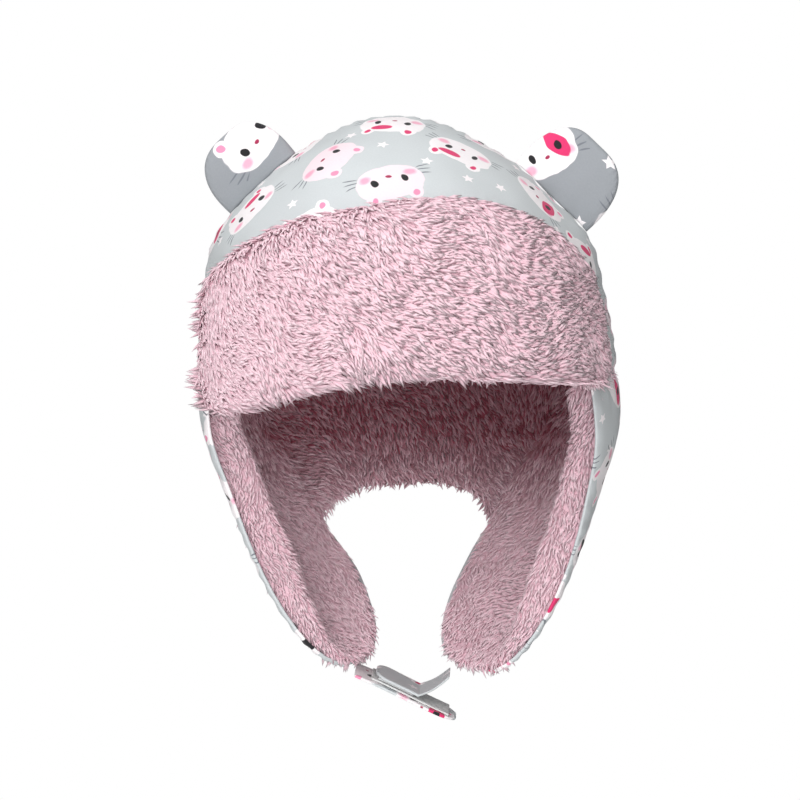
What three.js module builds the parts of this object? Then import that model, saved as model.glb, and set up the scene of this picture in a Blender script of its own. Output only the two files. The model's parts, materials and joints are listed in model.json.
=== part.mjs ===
// Baby winter hat with ears: a cotton shell, a plush lining, a front flap turned up as a peak,
// two ear flaps that curve in under the chin, and a chin strap fastened between their tips.
//
// Millimetres, +Z up. The hat faces -Y, and its wearer's right-hand flap is on the -X side.
// The origin is the middle of the head hollow at brow level, where a head holds the hat.
// Angles round the hat are in degrees from the front (-Y), positive towards +X, 180 at the nape.

import * as THREE from 'three';
import { mergeVertices } from 'three/addons/utils/BufferGeometryUtils.js';

// ---------------------------------------------------------------- driving dimensions

const HALF_WIDTH = 85.5;
const HALF_DEPTH = 92;
const CROWN_RISE = 101; // brow level up to the crown's top
const CHIN_DROP = 139.5; // brow level down to the pole that the flaps curve towards
const CHIN_FULLNESS = 1.8; // exponent of the lower half's outline, 2 being an ellipse

const APEX_TAPER = { angle: 20, spread: 16, amount: 0.12 }; // the crown comes to a soft point
const SHOULDER_PUFF = { angle: 60, spread: 9, amount: 0.045 }; // and puffs out below the ears
const LEAN = -0.045; // sideways shift of each level per millimetre of height
const CHIN_SHIFT = { from: -40, to: -135, forward: 38 }; // the flaps swing forward under the jaw

const SHELL = 1.5; // cotton, with its thin wadding
const PLUSH = 6.5;
const GAP = 0.3; // between neighbouring pieces
const SEAM_HEIGHT = -4; // the crown's lower seam, at the sides and the back

const COLUMN_ANGLE = 10; // facets round the hat

// The worn hat's main dents: angle and height of the middle, spreads, and depth inwards.
const DENTS = [
  { angle: -90, height: 76, wide: 14, tall: 8, depth: 1.8 }, // pinched in at the left ear
  { angle: 90, height: 70, wide: 14, tall: 8, depth: 1.8 }, // pinched in at the right ear
  { angle: 90, height: -26, wide: 40, tall: 20, depth: -3 }, // cheeks puffed out below the peak
  { angle: -90, height: -28, wide: 40, tall: 20, depth: -3 },
  { angle: 76, height: -3, wide: 12, tall: 4, depth: 1.6 }, // right flap buckles below the crown
  { angle: 180, height: -12, wide: 38, tall: 8, depth: 2 }, // slack over the nape seam
  { angle: 150, height: 42, wide: 16, tall: 14, depth: 1.6 }, // soft hollows at the back
  { angle: -140, height: 30, wide: 18, tall: 12, depth: 1.4 },
];

// An ear flap from its top seam to its tip: the angles of its front and rear edges, left and right.
const FLAP_ROWS = [
  { height: -4, leftFront: 70, rightFront: 61, leftRear: 118, rightRear: 122 },
  { height: -20, leftFront: 72, rightFront: 63, leftRear: 122, rightRear: 128.5 },
  { height: -36, leftFront: 74, rightFront: 66, leftRear: 127, rightRear: 135 },
  { height: -52, leftFront: 76, rightFront: 69, leftRear: 133, rightRear: 142 },
  { height: -64, leftFront: 77.5, rightFront: 71.5, leftRear: 137.5, rightRear: 147.5 },
  { height: -73, leftFront: 78.5, rightFront: 73, leftRear: 141.5, rightRear: 152 },
  { height: -82, leftFront: 79.5, rightFront: 75, leftRear: 147, rightRear: 157 },
  { height: -93, leftFront: 81, rightFront: 77, leftRear: 153, rightRear: 162 },
  { height: -104, leftFront: 84, rightFront: 80, leftRear: 155.5, rightRear: 166.5 },
  { height: -112, leftFront: 88, rightFront: 85, leftRear: 155.5, rightRear: 168 },
  { height: -118, leftFront: 95, rightFront: 92, leftRear: 152, rightRear: 166.5 },
  { height: -122, leftFront: 106, rightFront: 102, leftRear: 145, rightRear: 160 },
  { height: -124, leftFront: 117, rightFront: 114, leftRear: 134, rightRear: 148 },
];
const FLAPS = [
  { name: 'left', side: -1, drop: 0 },
  { name: 'right', side: 1, drop: 2 }, // how much lower its tip hangs
];
const NOTCH_ROW = 5; // where the flap's rear edge comes free of the nape panel
const NAPE_EDGE = { middle: -59, corner: -73 }; // the nape panel's lower edge

// The turned-up peak: fold line, top edge and plush thickness, from its left end to its right end.
const PEAK_ROWS = [
  { angle: -67, fold: -5, top: 20, plush: 3.5 },
  { angle: -63, fold: -12, top: 31, plush: 5 },
  { angle: -56, fold: -16, top: 41, plush: 7.5 },
  { angle: -44, fold: -15, top: 52, plush: 10 },
  { angle: -31, fold: -9, top: 60, plush: 11.5 },
  { angle: -15, fold: -3.5, top: 66, plush: 12 },
  { angle: 0, fold: 0, top: 69.5, plush: 12 },
  { angle: 15, fold: 0.5, top: 71, plush: 12 },
  { angle: 30, fold: -1.5, top: 69, plush: 11.5 },
  { angle: 43, fold: -3.5, top: 62, plush: 10 },
  { angle: 54, fold: -5, top: 51, plush: 7.5 },
  { angle: 61, fold: -5, top: 37, plush: 5 },
  { angle: 65, fold: -1, top: 22, plush: 3.5 },
];
const PEAK_COLUMNS = 26;
const PEAK_FOOT = 6; // thickness of the plush where it turns under the crown's edge
const PEAK_FOOT_END = { from: 38, to: 49 }; // angles where that foot runs out
const PEAK_LEVELS = 5;
const PEAK_STANDOFF = 3; // how far the top edge leans away from the crown
const PEAK_GAP = 0.6; // crown to backing
const PLUSH_GAP = 0.9; // backing to plush
const EDGE_GAP = 1.2; // the crown's edge above the peak's foot
const EDGE_RISE = { from: 50, to: 60 }; // angles where the crown's edge leaves the fold for the seam

const EARS = [
  { name: 'ear_left', side: -1, inner: 32, outer: 53, height: 24.5, plump: 8, cup: 2.5 },
  { name: 'ear_right', side: 1, inner: 36, outer: 58, height: 28.5, plump: 8, cup: 2 },
];
const EAR_SQUARENESS = 2.9; // exponent of the ear's rounded outline
const EAR_RIM = 1.6; // thickness at the outline seam
const EAR_FLARE = 1.03; // widest part over the base

const STRAP_WIDTH = 20;
const STRAP = 1.2;
const TAPE = 0.8;

const COTTON = new THREE.Color(0xb9bec4);
const PINK = new THREE.Color(0xe8c5cf);
const TAPE_WHITE = new THREE.Color(0xf0f0ee);

// ---------------------------------------------------------------- small helpers

const radians = THREE.MathUtils.degToRad;
const { lerp, smoothstep, clamp } = THREE.MathUtils;
const hump = (value, middle, spread) => Math.exp(-(((value - middle) / spread) ** 2));

// The shorter way round from one angle to another, in degrees.
function angleBetween(first, second) {
  return Math.abs(((first - second + 540) % 360) - 180);
}

// A column of a table, read at any value of its key column and rounded smoothly between the rows.
function readTable(rows, key, column, value) {
  const rising = rows[rows.length - 1][key] > rows[0][key];
  const ordered = rising ? rows : [...rows].reverse();
  const last = ordered.length - 1;
  const place = clamp(value, ordered[0][key], ordered[last][key]);
  let row = 0;
  while (row < last - 1 && ordered[row + 1][key] < place) row += 1;
  const slope = (index) => {
    const before = ordered[Math.max(index - 1, 0)];
    const after = ordered[Math.min(index + 1, last)];
    return (after[column] - before[column]) / (after[key] - before[key]);
  };
  const [low, high] = [ordered[row], ordered[row + 1]];
  const span = high[key] - low[key];
  const t = (place - low[key]) / span;
  const rise = t * t * (3 - 2 * t);
  const bendLow = t * (1 - t) * (1 - t) * span * slope(row);
  const bendHigh = t * t * (t - 1) * span * slope(row + 1);
  return lerp(low[column], high[column], rise) + bendLow + bendHigh;
}

// A closed body from points and triangles: doubles merged, slivers dropped, faces turned outwards.
function closedBody(points, triangles) {
  const loose = new THREE.BufferGeometry();
  loose.setAttribute('position', new THREE.Float32BufferAttribute(points.flatMap((p) => p.toArray()), 3));
  loose.setIndex(triangles);
  const merged = mergeVertices(loose, 1e-3);
  const position = merged.getAttribute('position');
  const corner = (index) => new THREE.Vector3().fromBufferAttribute(position, index);
  const kept = [];
  let volume = 0;
  for (let start = 0; start < merged.index.count; start += 3) {
    const [a, b, c] = [0, 1, 2].map((step) => merged.index.getX(start + step));
    if (a !== b && b !== c && c !== a) {
      kept.push(a, b, c);
      volume += corner(a).dot(corner(b).cross(corner(c)));
    }
  }
  merged.setIndex(volume < 0 ? kept.reverse() : kept);
  merged.computeVertexNormals();
  return merged;
}

// A wall between two surfaces over the same grid. A ring joins its last column to its first.
function wallBetween(columns, rows, outer, inner, ring = false) {
  const points = [];
  for (const surface of [outer, inner]) {
    for (let j = 0; j <= rows; j++) {
      for (let i = 0; i <= columns; i++) points.push(surface(i / columns, j / rows));
    }
  }
  const at = (layer, i, j) => (layer * (rows + 1) + j) * (columns + 1) + i;
  const triangles = [];
  const quad = (a, b, c, d) => triangles.push(a, b, c, a, c, d);
  for (let j = 0; j < rows; j++) {
    for (let i = 0; i < columns; i++) {
      quad(at(0, i, j), at(0, i + 1, j), at(0, i + 1, j + 1), at(0, i, j + 1));
      quad(at(1, i, j), at(1, i, j + 1), at(1, i + 1, j + 1), at(1, i + 1, j));
    }
  }
  for (let i = 0; i < columns; i++) {
    quad(at(0, i, 0), at(1, i, 0), at(1, i + 1, 0), at(0, i + 1, 0));
    quad(at(0, i, rows), at(0, i + 1, rows), at(1, i + 1, rows), at(1, i, rows));
  }
  for (let j = 0; j < rows && !ring; j++) {
    quad(at(0, 0, j), at(0, 0, j + 1), at(1, 0, j + 1), at(1, 0, j));
    quad(at(0, columns, j), at(1, columns, j), at(1, columns, j + 1), at(0, columns, j + 1));
  }
  return closedBody(points, triangles);
}

// A body lofted through closed sections with equal numbers of points, with flat ends.
function loftThrough(sections) {
  const count = sections[0].length;
  const at = (section, point) => section * count + (point % count);
  const triangles = [];
  for (let s = 0; s < sections.length - 1; s++) {
    for (let p = 0; p < count; p++) {
      triangles.push(at(s, p), at(s + 1, p), at(s + 1, p + 1), at(s, p), at(s + 1, p + 1), at(s, p + 1));
    }
  }
  const capTriangles = (section) => {
    const flat = sections[section].map((p) => p.clone());
    const origin = flat[0];
    const across = flat[Math.floor(count / 2)].clone().sub(origin).normalize();
    const facing = new THREE.Vector3();
    flat.forEach((p, i) => facing.add(p.clone().cross(flat[(i + 1) % count])));
    const up = facing.normalize().clone().cross(across);
    const outline = flat.map((p) => {
      const offset = p.clone().sub(origin);
      return new THREE.Vector2(offset.dot(across), offset.dot(up));
    });
    return THREE.ShapeUtils.triangulateShape(outline, []);
  };
  const lastSection = sections.length - 1;
  for (const [a, b, c] of capTriangles(0)) triangles.push(at(0, a), at(0, b), at(0, c));
  for (const [a, b, c] of capTriangles(lastSection)) {
    triangles.push(at(lastSection, c), at(lastSection, b), at(lastSection, a));
  }
  return closedBody(sections.flat(), triangles);
}

// ---------------------------------------------------------------- the hat's outer form

// The polar angle, 0 at the crown's top and 90 at brow level, of a height.
function polarOf(height) {
  const reach = height >= 0 ? CROWN_RISE : CHIN_DROP;
  return THREE.MathUtils.radToDeg(Math.acos(clamp(height / reach, -1, 1)));
}

function heightOf(polar) {
  return (polar <= 90 ? CROWN_RISE : CHIN_DROP) * Math.cos(radians(polar));
}

// A point on the cotton's outside, before it is moved in or out.
function formPoint(angle, polar) {
  const height = heightOf(polar);
  const sideways = Math.sin(radians(angle));
  const taper = 1 - APEX_TAPER.amount * hump(polar, APEX_TAPER.angle, APEX_TAPER.spread);
  const puff = SHOULDER_PUFF.amount * hump(polar, SHOULDER_PUFF.angle, SHOULDER_PUFF.spread);
  const fullness = polar > 90 ? CHIN_FULLNESS : 2;
  const egg = (1 - Math.abs(Math.cos(radians(polar))) ** fullness) ** (1 / fullness);
  let round = egg * (taper + puff * sideways ** 4);
  for (const dent of DENTS) {
    const near = hump(angleBetween(angle, dent.angle), 0, dent.wide) * hump(height, dent.height, dent.tall);
    round -= (dent.depth / HALF_WIDTH) * near;
  }
  const shift = CHIN_SHIFT.forward * smoothstep(-height, -CHIN_SHIFT.from, -CHIN_SHIFT.to);
  return new THREE.Vector3(
    HALF_WIDTH * round * sideways + LEAN * height,
    -HALF_DEPTH * round * Math.cos(radians(angle)) - shift,
    height,
  );
}

function formNormal(angle, polar) {
  if (polar < 1) return new THREE.Vector3(0, 0, 1);
  const down = formPoint(angle, polar + 0.5).sub(formPoint(angle, polar - 0.5));
  const round = formPoint(angle + 0.5, polar).sub(formPoint(angle - 0.5, polar));
  return down.cross(round).normalize();
}

// A point of the form moved outwards along its normal; a negative offset goes into the hollow.
function offsetPoint(angle, polar, offset) {
  return formPoint(angle, polar).addScaledVector(formNormal(angle, polar), offset);
}

// A wall that follows the form between two offsets. place turns grid shares into angle and polar angle,
// and thin gives the share of its thickness that the wall keeps there.
function formWall(columns, rows, place, outside, inside, ring = false, thin = () => 1) {
  const surface = (offsetAt) => (u, v) => {
    const [angle, polar] = place(u, v);
    return offsetPoint(angle, polar, offsetAt(u, v));
  };
  const inner = (u, v) => outside - (outside - inside) * thin(u, v);
  return wallBetween(columns, rows, surface(() => outside), surface(inner), ring);
}

const SHELL_LAYER = [0, -SHELL];
const LINING_LAYER = [-SHELL - GAP, -SHELL - GAP - PLUSH];

// ---------------------------------------------------------------- crown

// The crown's lower edge: it follows the peak's fold in front and the level seam elsewhere.
function crownEdge(angle) {
  const turned = ((angle + 540) % 360) - 180;
  const fold = readTable(PEAK_ROWS, 'angle', 'fold', turned) + PEAK_FOOT + EDGE_GAP;
  const share = smoothstep(Math.abs(turned), EDGE_RISE.from, EDGE_RISE.to);
  return lerp(fold, SEAM_HEIGHT + GAP / 2, share);
}

const CROWN_ROWS = 10;

function crownPlace(first, last) {
  return (u, v) => {
    const angle = lerp(first, last, u);
    return [angle, v * polarOf(crownEdge(angle))];
  };
}

function crownPanel(first, last, shiftY) {
  const columns = Math.round((last - first) / COLUMN_ANGLE);
  const panel = formWall(columns, CROWN_ROWS, crownPlace(first, last), ...SHELL_LAYER);
  return panel.translate(0, shiftY, 0);
}

function crownLining() {
  return formWall(360 / COLUMN_ANGLE, CROWN_ROWS, crownPlace(-90, 270), ...LINING_LAYER, true);
}

// ---------------------------------------------------------------- ear flaps and nape

const FLAP_COLUMNS = 8;
const NAPE_COLUMNS = 10;
const NAPE_LEVELS = 6;
const HALF_GAP_ANGLE = 0.12; // half the gap at an upright seam, as an angle round the hat

function flapPlace({ name, side, drop }) {
  const rowCount = FLAP_ROWS.length - 1;
  return (u, v) => {
    const row = FLAP_ROWS[Math.round(v * rowCount)];
    const lowered = row.height < -100 ? drop * (row.height + 100) / -27 : 0;
    const height = Math.min(row.height, SEAM_HEIGHT - GAP / 2) - lowered;
    const front = row[`${name}Front`];
    const rear = row[`${name}Rear`] - HALF_GAP_ANGLE;
    return [side * lerp(front, rear, u), polarOf(height)];
  };
}

// The plush thins towards the flap's free edges, so that they are rounded.
function flapThin(u, v) {
  const rowCount = FLAP_ROWS.length - 1;
  const row = Math.round(v * rowCount);
  const frontEdge = u === 0;
  const rearEdge = u === 1 && row > NOTCH_ROW;
  return frontEdge || rearEdge || row === rowCount ? 0.6 : 1;
}

function flapWall(flap, layer, thin) {
  return formWall(FLAP_COLUMNS, FLAP_ROWS.length - 1, flapPlace(flap), ...layer, false, thin);
}

function napePlace(u, v) {
  const across = 2 * u - 1;
  const edge = lerp(NAPE_EDGE.middle, NAPE_EDGE.corner, Math.abs(across) ** 2.4);
  const height = lerp(SEAM_HEIGHT - GAP / 2, edge, v);
  const seam = readTable(FLAP_ROWS, 'height', across < 0 ? 'rightRear' : 'leftRear', height);
  return [180 + across * (180 - seam - HALF_GAP_ANGLE), polarOf(height)];
}

function napeWall(layer, thin) {
  return formWall(NAPE_COLUMNS, NAPE_LEVELS, napePlace, ...layer, false, thin);
}

const napeThin = (u, v) => (v === 1 ? 0.6 : 1);

// ---------------------------------------------------------------- peak

// A point in front of the crown: offset level outwards, with the peak's lean added as it rises.
function peakPoint(angle, height, offset) {
  const base = formPoint(angle, polarOf(height));
  const outward = new THREE.Vector3(Math.sin(radians(angle)), -Math.cos(radians(angle)), 0);
  const lean = PEAK_STANDOFF * smoothstep(height, 10, 65);
  return base.addScaledVector(outward, offset + lean);
}

function peakRow(angle) {
  const row = { angle };
  for (const column of ['fold', 'top', 'plush']) row[column] = readTable(PEAK_ROWS, 'angle', column, angle);
  return row;
}

// The heights between the fold and the rounded top edge, where plush and backing lie side by side.
function peakLevels({ fold, top, plush }) {
  const low = fold + PEAK_FOOT + EDGE_GAP;
  return Array.from({ length: PEAK_LEVELS + 1 }, (_, i) => lerp(low, top - 0.5 * plush, i / PEAK_LEVELS));
}

// The plush's section: up the outside, over the top edge, down the back and in under the crown's edge.
function peakSection(angle) {
  const row = peakRow(angle);
  const { fold, top, plush } = row;
  const levels = peakLevels(row);
  const back = PEAK_GAP + SHELL + PLUSH_GAP;
  const face = back + plush;
  const foot = 1 - smoothstep(Math.abs(angle), PEAK_FOOT_END.from, PEAK_FOOT_END.to);
  const reach = lerp(back, LINING_LAYER[1] + 0.5, foot);
  const underEdge = fold + PEAK_FOOT;
  const outline = [
    [reach, fold + 2],
    [lerp(back + 0.2 * plush, -3, foot), fold + 0.3],
    [back + 0.45 * plush, fold],
    [back + 0.85 * plush, fold + 0.25 * plush],
    ...levels.map((height) => [face, height]),
    [back + 0.85 * plush, top - 0.2 * plush],
    [back + 0.5 * plush, top],
    [back + 0.1 * plush, top - 0.15 * plush],
    ...levels.map((height) => [back, height]).reverse(),
    [back, underEdge],
    [reach, lerp(underEdge - 1, underEdge, foot)],
  ];
  return outline.map(([offset, height]) => peakPoint(angle, height, offset));
}

function peakAngles() {
  const first = PEAK_ROWS[0].angle;
  const last = PEAK_ROWS[PEAK_ROWS.length - 1].angle;
  return Array.from({ length: PEAK_COLUMNS + 1 }, (_, i) => lerp(first, last, i / PEAK_COLUMNS));
}

function peakPlush() {
  return loftThrough(peakAngles().map(peakSection));
}

function peakBacking() {
  const sections = peakAngles().map((angle) => ({ angle, levels: peakLevels(peakRow(angle)) }));
  const surface = (offset) => (u, v) => {
    const { angle, levels } = sections[Math.round(u * PEAK_COLUMNS)];
    return peakPoint(angle, levels[Math.round(v * PEAK_LEVELS)], offset);
  };
  return wallBetween(PEAK_COLUMNS, PEAK_LEVELS, surface(PEAK_GAP + SHELL), surface(PEAK_GAP));
}

// ---------------------------------------------------------------- ears

const EAR_COLUMNS = 16;
const EAR_LEVELS = 6;

// A padded half disc standing on the crown's side-to-side seam.
function earBody({ side, inner, outer, height, plump, cup }) {
  const middle = (inner + outer) / 2;
  const outward = formNormal(side * 90, middle);
  const surface = (facing) => (u, v) => {
    const turn = Math.PI * u;
    const across = Math.sign(Math.cos(turn)) * Math.abs(Math.cos(turn)) ** (2 / EAR_SQUARENESS);
    const rise = v * Math.abs(Math.sin(turn)) ** (2 / EAR_SQUARENESS);
    const fill = Math.abs(across) ** EAR_SQUARENESS + rise ** EAR_SQUARENESS;
    const thick = EAR_RIM + (plump - EAR_RIM) * Math.sqrt(Math.max(1 - fill, 0));
    const flare = lerp(1, EAR_FLARE, Math.sin(Math.PI * Math.min(rise, 1)));
    const polar = middle + (across * flare * (outer - inner)) / 2;
    const foot = offsetPoint(side * 90, polar, GAP + 0.1);
    const point = foot.addScaledVector(outward, rise * height);
    point.y += -cup * rise * rise + (facing * thick) / 2;
    return point;
  };
  return wallBetween(EAR_COLUMNS, EAR_LEVELS, surface(1), surface(-1));
}

// ---------------------------------------------------------------- chin strap

// The fastened strap's middle line, from the left flap's tip to its free end, and how it is tilted.
const STRAP_ROWS = [
  { along: 0, x: -21, y: -12, z: -126.4, tilt: 4 },
  { along: 0.2, x: -13, y: -12, z: -129.8, tilt: 4 },
  { along: 0.45, x: -2.5, y: -12.5, z: -134.8, tilt: 3 },
  { along: 0.7, x: 8, y: -13, z: -139.8, tilt: 3 },
  { along: 0.88, x: 15.5, y: -13, z: -143.3, tilt: 3 },
  { along: 1, x: 20.5, y: -13, z: -145.6, tilt: 3 },
];
const TAB_OVERLAP = { from: 0.18, to: 0.6 }; // the stretch of the strap that the tab lies on
const TAB_ROOT = { x: 18, y: -9, z: -128.5 }; // the right flap's tip
const LOOP_STRETCH = { from: 0.16, to: 0.92 };
const HOOK_STRETCH = { from: 0.22, to: 0.56 };
const STRAP_COLUMNS = 6;
const STRAP_STEPS = 12;

// A point on the strap: along it, across its width, and above its middle line.
function strapPoint(along, across, above) {
  const read = (column) => readTable(STRAP_ROWS, 'along', column, along);
  const step = 0.02;
  const direction = new THREE.Vector3(
    readTable(STRAP_ROWS, 'along', 'x', along + step) - readTable(STRAP_ROWS, 'along', 'x', along - step),
    readTable(STRAP_ROWS, 'along', 'y', along + step) - readTable(STRAP_ROWS, 'along', 'y', along - step),
    readTable(STRAP_ROWS, 'along', 'z', along + step) - readTable(STRAP_ROWS, 'along', 'z', along - step),
  ).normalize();
  const tilt = radians(read('tilt'));
  const backwards = new THREE.Vector3(0, Math.cos(tilt), Math.sin(tilt));
  const upwards = backwards.clone().cross(direction).normalize().negate();
  const point = new THREE.Vector3(read('x'), read('y'), read('z'));
  return point.addScaledVector(backwards, across).addScaledVector(upwards, above);
}

// A strip of the strap with a rounded far end where round is set.
function strapStrip(from, to, width, low, high, round) {
  const surface = (above) => (u, v) => {
    const beyond = Math.max((v - 1 + round) / (round || 1), 0);
    const half = (width / 2) * Math.sqrt(Math.max(1 - 0.9 * beyond * beyond, 0));
    return strapPoint(lerp(from, to, v), (2 * u - 1) * half, above);
  };
  return wallBetween(STRAP_COLUMNS, STRAP_STEPS, surface(high), surface(low));
}

const strapHigh = STRAP / 2;
const loopHigh = strapHigh + GAP + TAPE;
const hookHigh = loopHigh + GAP + TAPE;

function chinStrap() {
  return strapStrip(0, 1, STRAP_WIDTH, -strapHigh, strapHigh, 0.2);
}

function loopTape() {
  return strapStrip(LOOP_STRETCH.from, LOOP_STRETCH.to, STRAP_WIDTH - 4, strapHigh + GAP, loopHigh, 0);
}

function hookTape() {
  return strapStrip(HOOK_STRETCH.from, HOOK_STRETCH.to, STRAP_WIDTH - 5, loopHigh + GAP, hookHigh, 0);
}

// The tab lies on the strap and climbs from there to the right flap's tip.
function chinTab() {
  const low = hookHigh + GAP;
  const surface = (above) => (u, v) => {
    const across = (u - 0.5) * STRAP_WIDTH;
    const lying = 0.62;
    if (v <= lying) {
      const share = v / lying;
      const narrow = Math.sqrt(1 - 0.9 * Math.max(1 - share / 0.3, 0) ** 2);
      return strapPoint(lerp(TAB_OVERLAP.from, TAB_OVERLAP.to, share), across * narrow, above);
    }
    const share = (v - lying) / (1 - lying);
    const start = strapPoint(TAB_OVERLAP.to, across, above);
    const end = new THREE.Vector3(TAB_ROOT.x, TAB_ROOT.y + across, TAB_ROOT.z + above - low);
    return start.lerp(end, share);
  };
  return wallBetween(STRAP_COLUMNS, STRAP_STEPS + 1, surface(low + STRAP), surface(low));
}

// ---------------------------------------------------------------- assembly

const hat = new THREE.Group();

function addPiece(name, geometry, color, roughness) {
  const material = new THREE.MeshStandardMaterial({ color, roughness, metalness: 0 });
  const piece = new THREE.Mesh(geometry, material);
  piece.name = name;
  hat.add(piece);
}

const COTTON_ROUGHNESS = 0.85;
const PLUSH_ROUGHNESS = 0.95;
const SEAM_SHIFT = GAP / 2;

addPiece('crown_front', crownPanel(-90, 90, -SEAM_SHIFT), COTTON, COTTON_ROUGHNESS);
addPiece('crown_back', crownPanel(90, 270, SEAM_SHIFT), COTTON, COTTON_ROUGHNESS);
addPiece('crown_lining', crownLining(), PINK, PLUSH_ROUGHNESS);
addPiece('nape_shell', napeWall(SHELL_LAYER), COTTON, COTTON_ROUGHNESS);
addPiece('nape_lining', napeWall(LINING_LAYER, napeThin), PINK, PLUSH_ROUGHNESS);
for (const flap of FLAPS) {
  addPiece(`flap_${flap.name}_shell`, flapWall(flap, SHELL_LAYER), COTTON, COTTON_ROUGHNESS);
  addPiece(`flap_${flap.name}_lining`, flapWall(flap, LINING_LAYER, flapThin), PINK, PLUSH_ROUGHNESS);
}
addPiece('peak_backing', peakBacking(), COTTON, COTTON_ROUGHNESS);
addPiece('peak_plush', peakPlush(), PINK, PLUSH_ROUGHNESS);
for (const ear of EARS) addPiece(ear.name, earBody(ear), COTTON, COTTON_ROUGHNESS);
addPiece('chin_strap', chinStrap(), COTTON, COTTON_ROUGHNESS);
addPiece('loop_tape', loopTape(), TAPE_WHITE, PLUSH_ROUGHNESS);
addPiece('hook_tape', hookTape(), TAPE_WHITE, PLUSH_ROUGHNESS);
addPiece('chin_tab', chinTab(), COTTON, COTTON_ROUGHNESS);

export default hat;
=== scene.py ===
# %% [markdown]
# # A baby's winter hat with ears
#
# The hat is a cotton shell with a small all-over print, lined with long plush. A deep flap is turned up over the brow
# as a peak, two ear flaps curve in under the jaw, and a strap with hook-and-loop tape joins their tips. Two padded
# ears stand on the seam that crosses the crown. This file rebuilds it in Blender round a finished CAD model, whose
# nodes give each piece its place. Tables are in millimetres, and meshes are in metres.

# %% Load the CAD frame
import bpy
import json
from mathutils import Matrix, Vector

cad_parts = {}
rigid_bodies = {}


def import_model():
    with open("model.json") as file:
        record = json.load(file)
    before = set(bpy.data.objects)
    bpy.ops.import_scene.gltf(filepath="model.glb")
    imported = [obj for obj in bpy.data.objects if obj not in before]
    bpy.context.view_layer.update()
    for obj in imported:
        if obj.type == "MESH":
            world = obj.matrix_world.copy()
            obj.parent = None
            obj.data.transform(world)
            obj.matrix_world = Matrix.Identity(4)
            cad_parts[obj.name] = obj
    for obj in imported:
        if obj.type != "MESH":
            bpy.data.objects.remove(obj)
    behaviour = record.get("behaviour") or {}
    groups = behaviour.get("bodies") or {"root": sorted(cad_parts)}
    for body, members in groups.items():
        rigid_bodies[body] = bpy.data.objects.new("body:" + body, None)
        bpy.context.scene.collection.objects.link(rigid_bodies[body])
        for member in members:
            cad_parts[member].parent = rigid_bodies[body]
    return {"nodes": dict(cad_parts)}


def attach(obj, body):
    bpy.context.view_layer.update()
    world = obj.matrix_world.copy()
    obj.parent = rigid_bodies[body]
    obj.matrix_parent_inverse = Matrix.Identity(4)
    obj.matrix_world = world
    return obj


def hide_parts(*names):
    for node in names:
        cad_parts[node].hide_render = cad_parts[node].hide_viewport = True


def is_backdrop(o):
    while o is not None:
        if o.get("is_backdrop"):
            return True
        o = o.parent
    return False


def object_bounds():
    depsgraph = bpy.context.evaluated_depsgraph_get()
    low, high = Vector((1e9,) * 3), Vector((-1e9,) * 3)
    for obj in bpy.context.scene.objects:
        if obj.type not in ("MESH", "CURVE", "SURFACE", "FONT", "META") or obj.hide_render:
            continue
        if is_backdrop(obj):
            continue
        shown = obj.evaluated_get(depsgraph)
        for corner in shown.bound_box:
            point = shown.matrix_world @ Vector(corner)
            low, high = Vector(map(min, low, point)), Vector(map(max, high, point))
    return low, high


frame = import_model()
cad_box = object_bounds()
print("CAD nodes:", ", ".join(sorted(frame["nodes"])))

# %% Libraries and the unit
import json
import math

import bmesh
import bpy
import numpy as np
from mathutils import Vector, noise

MM = 0.001
scene = bpy.context.scene

# %% [markdown]
# ## Camera and lamps
#
# A hat like this is shown from the front, a little from above. The camera comes first, so that every later choice of
# detail can be judged through it. It stands over a metre away with a long lens, because a close lens would swell the
# peak. Three large soft lamps light it: the strongest high on the left, one low on the right and one overhead.

# %% Camera
CAMERA_AZIMUTH, CAMERA_ELEVATION, CAMERA_DISTANCE = 2.0, 5.0, 1.1
CAMERA_TARGET = Vector((-0.003, 0.0, -0.0157))
CAMERA_LENS = 119.8

swing, lift = math.radians(CAMERA_AZIMUTH), math.radians(CAMERA_ELEVATION)
camera_back = Vector((math.sin(swing) * math.cos(lift), -math.cos(swing) * math.cos(lift), math.sin(lift)))
camera = bpy.data.objects.new("camera", bpy.data.cameras.new("camera"))
camera.data.lens = CAMERA_LENS
camera.location = CAMERA_TARGET + camera_back * CAMERA_DISTANCE
camera.rotation_mode = "QUATERNION"
camera.rotation_quaternion = (-camera_back).to_track_quat("-Z", "Y")
scene.collection.objects.link(camera)
scene.camera = camera
print("camera at", [round(c, 3) for c in camera.location])

# %% Lamps
LAMPS = [  # name, place, size and watts
    ("lamp_key", (-0.70, -1.70, 0.85), 1.7, 33),
    ("lamp_fill", (0.45, -1.9, -0.12), 1.8, 18),
    ("lamp_top", (0.0, -0.35, 1.9), 1.8, 18),
]
for name, place, size, watts in LAMPS:
    lamp = bpy.data.objects.new(name, bpy.data.lights.new(name, "AREA"))
    lamp.data.shape, lamp.data.size, lamp.data.energy = "DISK", size, watts
    lamp.location = place
    lamp.rotation_mode = "QUATERNION"
    lamp.rotation_quaternion = (-Vector(place)).to_track_quat("-Z", "Y")
    scene.collection.objects.link(lamp)
scene.view_settings.view_transform = "Standard"
print("lamps:", len(LAMPS))

# %% [markdown]
# ## Node trees as arithmetic
#
# A material is a sum of small steps: a distance, a threshold, a mix. Wiring each step by hand hides what it says, so
# a small class wraps a socket and lets Python's own operators add the Math nodes. One method makes every other node
# from its type, its settings and its inputs. The same two classes build the Geometry Nodes trees too.

# %% The socket wrapper and the board


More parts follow.
